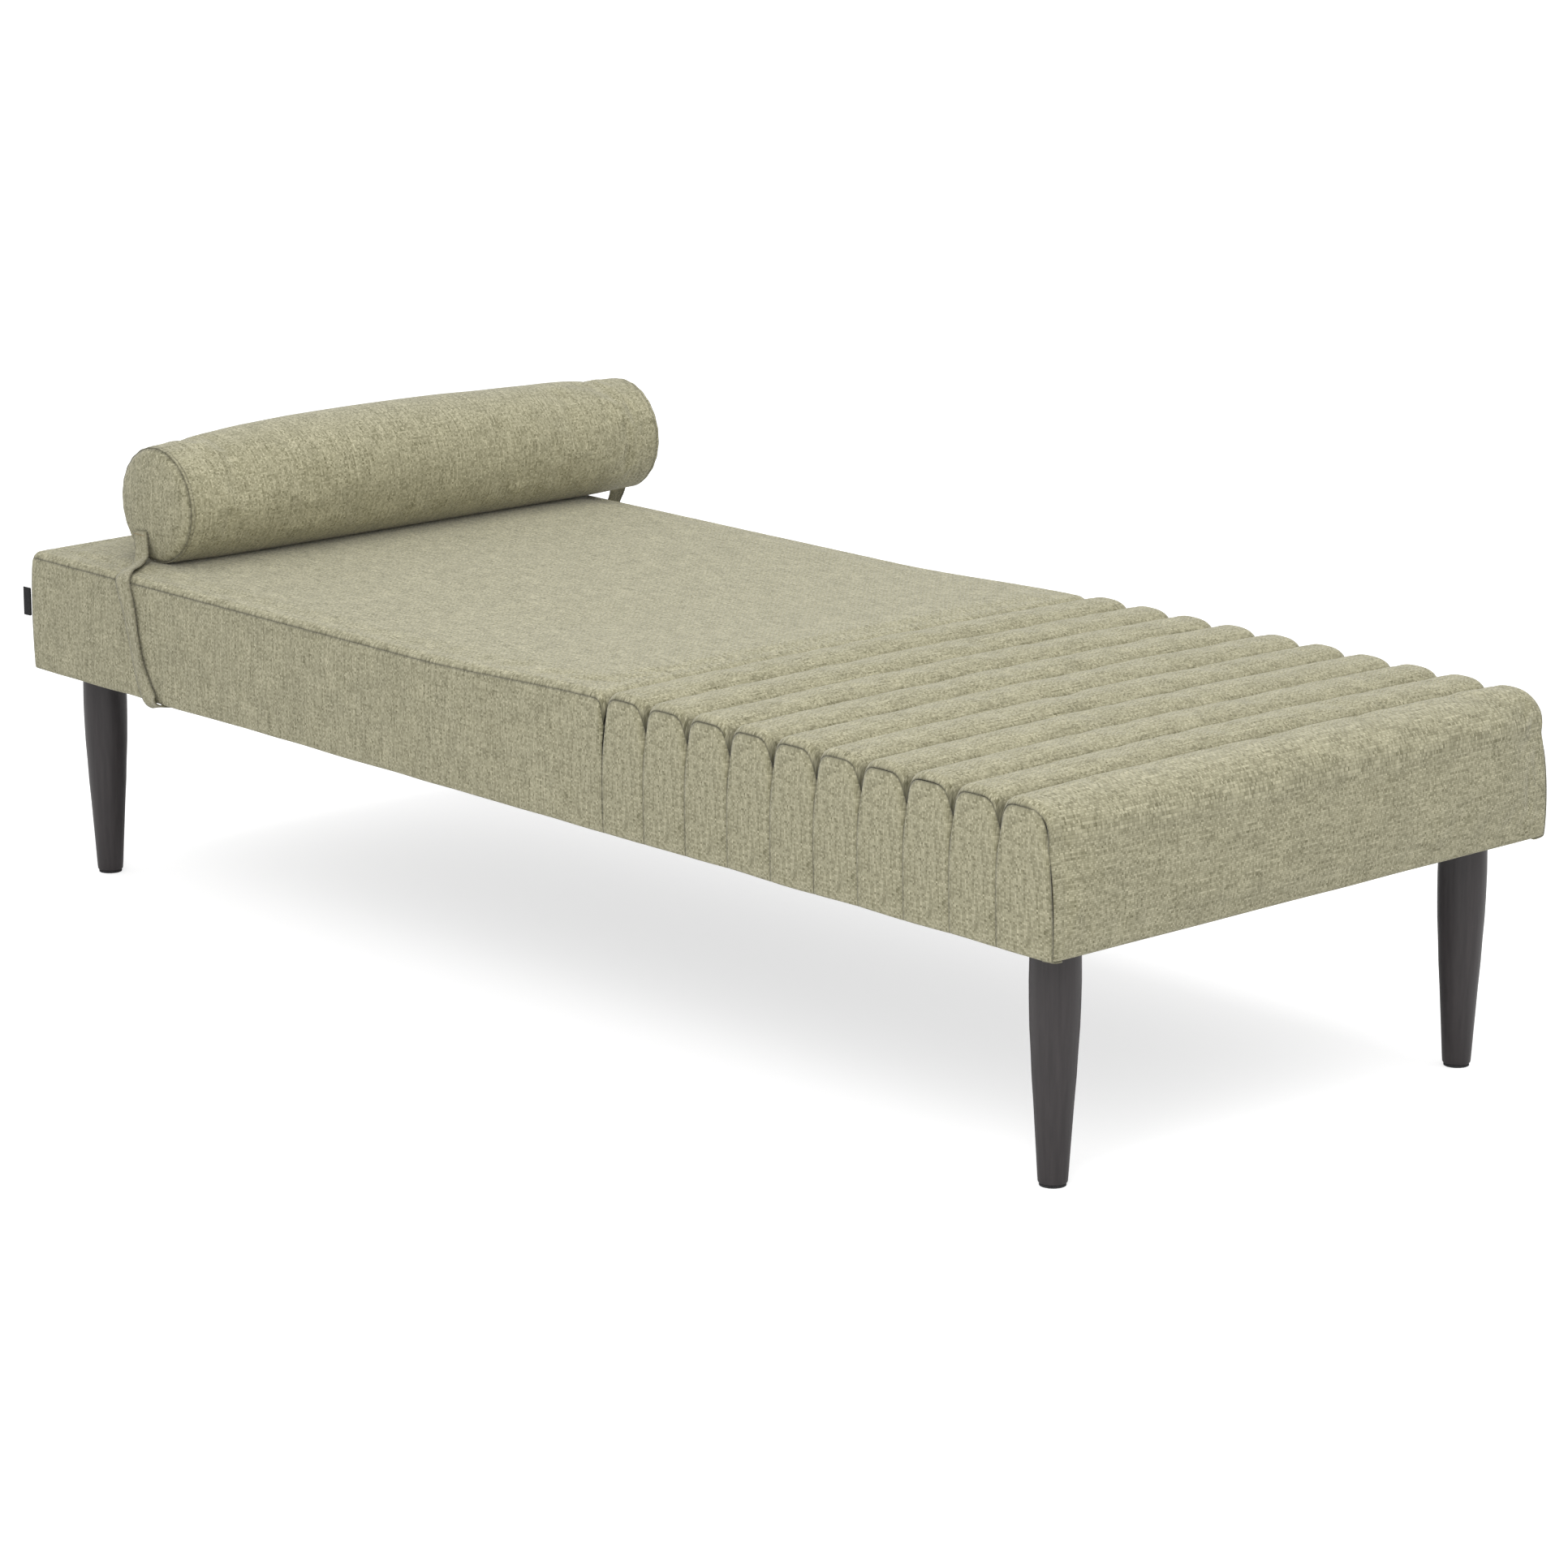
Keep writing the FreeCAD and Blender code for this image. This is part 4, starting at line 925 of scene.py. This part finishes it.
def endPoint(side, rim, x, z):
    # where a point of the flat disc goes on the domed end, and how much painted shade it gets near the rim
    # seam
    look = endLook
    share = min(hypot(x, z) / (look["radius"] / 1000), 1)
    turn = atan2(z, x)
    x, z = rollPoint(turn, rim, share)
    if share > rollLook["skinShare"]:
        middle = rollPoint(0, rim, 0)
        x = middle[0] + (x - middle[0]) * rollLook["wide"]
        z = middle[1] + (z - middle[1]) * rollLook["wide"]
    fromRim = (1 - share) * look["radius"]
    out = look["dome"] * (1 - share ** 2) ** look["domePower"] + look["domeStep"]
    out += look["waveDepth"] * ripple(x, z, look["waveScale"], 91 + side) * ease(fromRim / look["waveStart"])
    out -= fade(fromRim, *look["pucker"]) * (1 + sin(look["puckerCount"] * turn))
    out -= fade(fromRim, *look["tuck"])
    # painted shade near the rim of the end
    return Vector((x, rim + side * max(out, look["least"]), z)) / 1000, fade(fromRim, *look["dark"])


for side, name, node, rim in (
    (-1, "bolsterEndFront", "bolster_end_front", rollLook["front"]),
    (1, "bolsterEndBack", "bolster_end_back", rollLook["back"]),
):
    bm = bmesh.new()
    weave = bm.loops.layers.uv.new("weave")
    paintedShade = bm.verts.layers.float.new("paintedShade")
    rings = [1 - (1 - k / endLook["rings"]) ** endLook["ringPower"] for k in range(endLook["rings"] + 1)]
    profile = [(endLook["radius"] * (1 - share), 0) for share in rings]
    spinProfile(bm, profile, endLook["around"], Vector((0, 0, 0)), Vector((0, 1, 0)))
    for vert in bm.verts:
        vert.co, vert[paintedShade] = endPoint(side, rim, vert.co.x, vert.co.z)
    for face in bm.faces:
        for loop in face.loops:
            loop[weave].uv = loop.vert.co.xz
    bmesh.ops.recalc_face_normals(bm, faces=bm.faces)
    if sum(f.normal.y * side for f in bm.faces) < 0:
        bmesh.ops.reverse_faces(bm, faces=bm.faces)
    end = toObject(name, bm, materials["roll"], "bolster")
    addLayers(end)
    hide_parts(node)
print("bolster made")

# Straps: each stop gives the middle, the way out of the face and the width
strapLook = {
    "thickness": 1.6, "width": 28, "cells": (110, 8), "ahead": 0.004, "lift": 0.5, "edgeDrop": 1.2,
    "edgePower": 6, "edgeShade": (0.6, 1.0), "seamIn": 3, "seamShade": (0.25, 0.6), "backOut": 1.5,
    "backDown": 0.4,
}
stitchLook = {"count": 8, "under": 4, "margin": 6, "out": 1.0, "length": 0.7, "across": 0.5}
strapStops = [
    ((-772, 347.5, 477), (0, 1, 0), 30),
    ((-769, 348.5, 457), (0, 1, -0.05), 31),
    ((-762, 356, 442), (0, 1, 0.5), 30),
    ((-752, 376, 437), (0, 0.7, 1), 28),
    ((-740, 396, 433), (0, 1, 0.9), 28),
    ((-731, 405, 420), (0, 1, 0.2), 27),
    ((-720, 406, 392), (0, 1, 0), 27),
    ((-711, 406, 355), (-0.12, 1, 0), 26),
    ((-702, 405.5, 322), (-0.1, 1, 0), 26),
    ((-691, 405.5, 298), (0, 1, 0), 27),
    ((-680, 404.5, 280), (0, 1, -0.1), 28),
    ((-671, 400, 271), (0, 0.7, -1), 28),
    ((-661, 380, 270.9), (0, 0, -1), 28),
]
frontStops = [((x, -y, z), (a, -b, c), width) for (x, y, z), (a, b, c), width in strapStops]
backStops = [
    ((-787, 463, 468), (-0.1, 1, 0), 28),
    ((-781, 464.5, 448), (0, 1, 0), 28),
    ((-768, 455, 428), (0, 1, -0.7), 28),
    ((-748, 428, 412), (0, 1, -0.6), 28),
    ((-735, 409, 396), (0, 1, -0.2), 27),
]
for (x, y, z), out, width in strapStops[6:-1]:
    backStops.append(((x, y + strapLook["backOut"], z - strapLook["backDown"]), out, width))
backStops.append(strapStops[-1])
underStops = [((-661, y, 270.9), (0, 0, -1), 28) for y in (-381, -200, 0, 200, 381)]


def spline(stops, part):
    span = part * (len(stops) - 1)
    k = min(int(span), len(stops) - 2)
    f = span - k
    four = [stops[min(max(k + j, 0), len(stops) - 1)] for j in (-1, 0, 1, 2)]
    weights = (-0.5 * f + f * f - 0.5 * f ** 3, 1 - 2.5 * f * f + 1.5 * f ** 3,
               0.5 * f + 2 * f * f - 1.5 * f ** 3, -0.5 * f * f + 0.5 * f ** 3)
    return [sum(w * stop[n] for w, stop in zip(weights, four)) for n in range(len(stops[0]))]


def addStrap(name, node, stops):
    look = strapLook
    flat = [(*place, *out, width) for place, out, width in stops]
    total = sum((Vector(a[:3]) - Vector(b[:3])).length for a, b in zip(flat, flat[1:]))

    def place(u, v):
        here = spline(flat, u)
        ahead, behind = spline(flat, min(u + look["ahead"], 1)), spline(flat, max(u - look["ahead"], 0))
        tangent = (Vector(ahead[:3]) - Vector(behind[:3])).normalized()
        out = Vector(here[3:6]).normalized()
        out = (out - tangent * out.dot(tangent)).normalized()
        offset = (v - 0.5) * here[6]
        rise = look["lift"] - look["edgeDrop"] * (abs(v - 0.5) * 2) ** look["edgePower"]
        spot = Vector(here[:3]) + tangent.cross(out) * offset + out * rise
        edge = (0.5 - abs(v - 0.5)) * here[6]
        # painted shade along the strap edges and along the sunken stitch lines
        paintedShade = fade(edge, *look["edgeShade"]) + bell(edge - look["seamIn"], *look["seamShade"])
        return *spot, offset, u * total, paintedShade

    strap = gridPiece(name, look["cells"], place, stops[len(stops) // 2][1], "strap", "bolster")
    addLayers(strap, 1, look["thickness"])
    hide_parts(node)


def addStitches(name, stop):
    # a row of short threads across the sewn end of the strap
    look = stitchLook
    (x, y, z), _, width = stop
    bm = bmesh.new()
    step = (width - look["margin"]) / look["count"]
    for k in range(look["count"]):
        along = x + (k - (look["count"] - 1) / 2) * step
        spot = Vector((along, y - look["out"], z - look["under"])) / 1000
        made = bmesh.ops.create_cube(bm, size=0.001, matrix=Matrix.Translation(spot))
        size = (step * look["length"], look["across"], look["across"])
        bmesh.ops.scale(bm, vec=size, verts=made["verts"], space=Matrix.Translation(-spot))
    toObject(name, bm, materials["thread"], "bolster", smooth=False)


addStrap("strapFront", "strap_front", frontStops)
addStitches("strapStitches", frontStops[0])
addStrap("strapBack", "strap_back", backStops)
addStrap("strapUnder", "strap_under", underStops)

# Corner tab: a blank folded tape in the head seam of the front side
tabLook = {
    "foldX": -964.5, "rootX": -949, "y": -399.3, "low": 345, "high": 382, "half": 0.6, "cells": (24, 10),
    "foldCells": 12, "lean": 0.8, "tapeLength": 31, "thickness": 0.4,
}


def tabPlace(u, v):
    look = tabLook
    part = abs(2 * u - 1)
    x = look["foldX"] + (look["rootX"] - look["foldX"]) * part
    aside = signOf(u - 0.5) * look["half"] if part > 1 / look["foldCells"] else 0
    z = look["low"] + (look["high"] - look["low"]) * v
    return x, look["y"] + aside - look["lean"] * sin(pi * (1 - part) / 2), z, u * look["tapeLength"], z, 0


cornerTab = gridPiece("cornerTab", tabLook["cells"], tabPlace, (0, 0, 0), "blackTape", "daybed")
addLayers(cornerTab, 1, tabLook["thickness"])
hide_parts("corner_tab")
print("straps and tab made")

# CAD nodes that show as they are
for prefixes, material in (
    (("side_rail", "head_rail", "foot_rail", "cross_rail", "corner_block"), "pine"),
    (("glide",), "felt"),
    (("hanger_bolts", "tee_nuts"), "zinc"),
):
    for name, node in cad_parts.items():
        if name.startswith(prefixes):
            node.data.materials.clear()
            node.data.materials.append(materials[material])

# Studio: a pale floor that looks white and keeps the shadow, and two lamps
studio = {
    "cameraPlace": (4.767, -4.2161, 1.8225), "cameraTurn": (75.93, 0, 48.02), "lens": 121.94, "sensor": 36,
    "floorSize": 60, "floorColour": (0.8, 0.8, 0.8, 1), "floorGlow": 0.62, "worldColour": (1, 1, 1, 1),
    "worldStrength": 0.75, "worldSeen": 1.0,
}
lamps = {
    "topLight": {"place": (0.4, 0.2, 3.4), "turn": (0, 0, 0), "size": (3.5, 2.5), "power": 40},
    "keyLight": {"place": (2.5, -3, 3.2), "turn": (50, 0, 40), "size": (2.5, 2.5), "power": 60},
}


def addObject(name, data, place, turn):
    obj = bpy.data.objects.new(name, data)
    obj.location = place
    obj.rotation_euler = [radians(angle) for angle in turn]
    bpy.context.scene.collection.objects.link(obj)
    return obj


def addCamera():
    data = bpy.data.cameras.new("camera")
    data.lens = studio["lens"]
    data.sensor_width = studio["sensor"]
    bpy.context.scene.camera = addObject("camera", data, studio["cameraPlace"], studio["cameraTurn"])


def addFloor():
    bm = bmesh.new()
    bmesh.ops.create_grid(bm, x_segments=1, y_segments=1, size=studio["floorSize"] / 2)
    mesh = bpy.data.meshes.new("floor")
    bm.to_mesh(mesh)
    bm.free()
    material, nodes, links = nodeSet("paleFloor")
    nodes.remove(nodes["Principled BSDF"])
    plain = addNode(nodes, "BsdfDiffuse", in_Color=studio["floorColour"])
    seen = addNode(nodes, "LightPath").outputs["Is Camera Ray"]
    power = mathNode(nodes, links, "MULTIPLY", seen, studio["floorGlow"])
    glow = addNode(nodes, "Emission", links, in_Strength=power)
    both = addNode(nodes, "AddShader", links, in_0=plain.outputs[0], in_1=glow.outputs[0])
    links.new(both.outputs[0], nodes["Material Output"].inputs["Surface"])
    mesh.materials.append(material)
    plane = addObject("floor", mesh, (0, 0, 0), (0, 0, 0))


def addLamp(name, look):
    data = bpy.data.lights.new(name, "AREA")
    data.shape = "RECTANGLE"
    data.size, data.size_y = look["size"]
    data.energy = look["power"]
    addObject(name, data, look["place"], look["turn"])


addCamera()
addFloor()
for name, look in lamps.items():
    addLamp(name, look)
world = bpy.data.worlds.new("studio")
world.use_nodes = True
worldNodes, worldLinks = world.node_tree.nodes, world.node_tree.links
backdrop = worldNodes["Background"]
backdrop.inputs["Color"].default_value = studio["worldColour"]
seen = addNode(worldNodes, "LightPath").outputs["Is Camera Ray"]
shades = (studio["worldStrength"], studio["worldSeen"])
worldLinks.new(mapRange(worldNodes, worldLinks, seen, target=shades), backdrop.inputs["Strength"])
bpy.context.scene.world = world
bpy.context.scene.view_settings.view_transform = "Standard"

print("scene made")
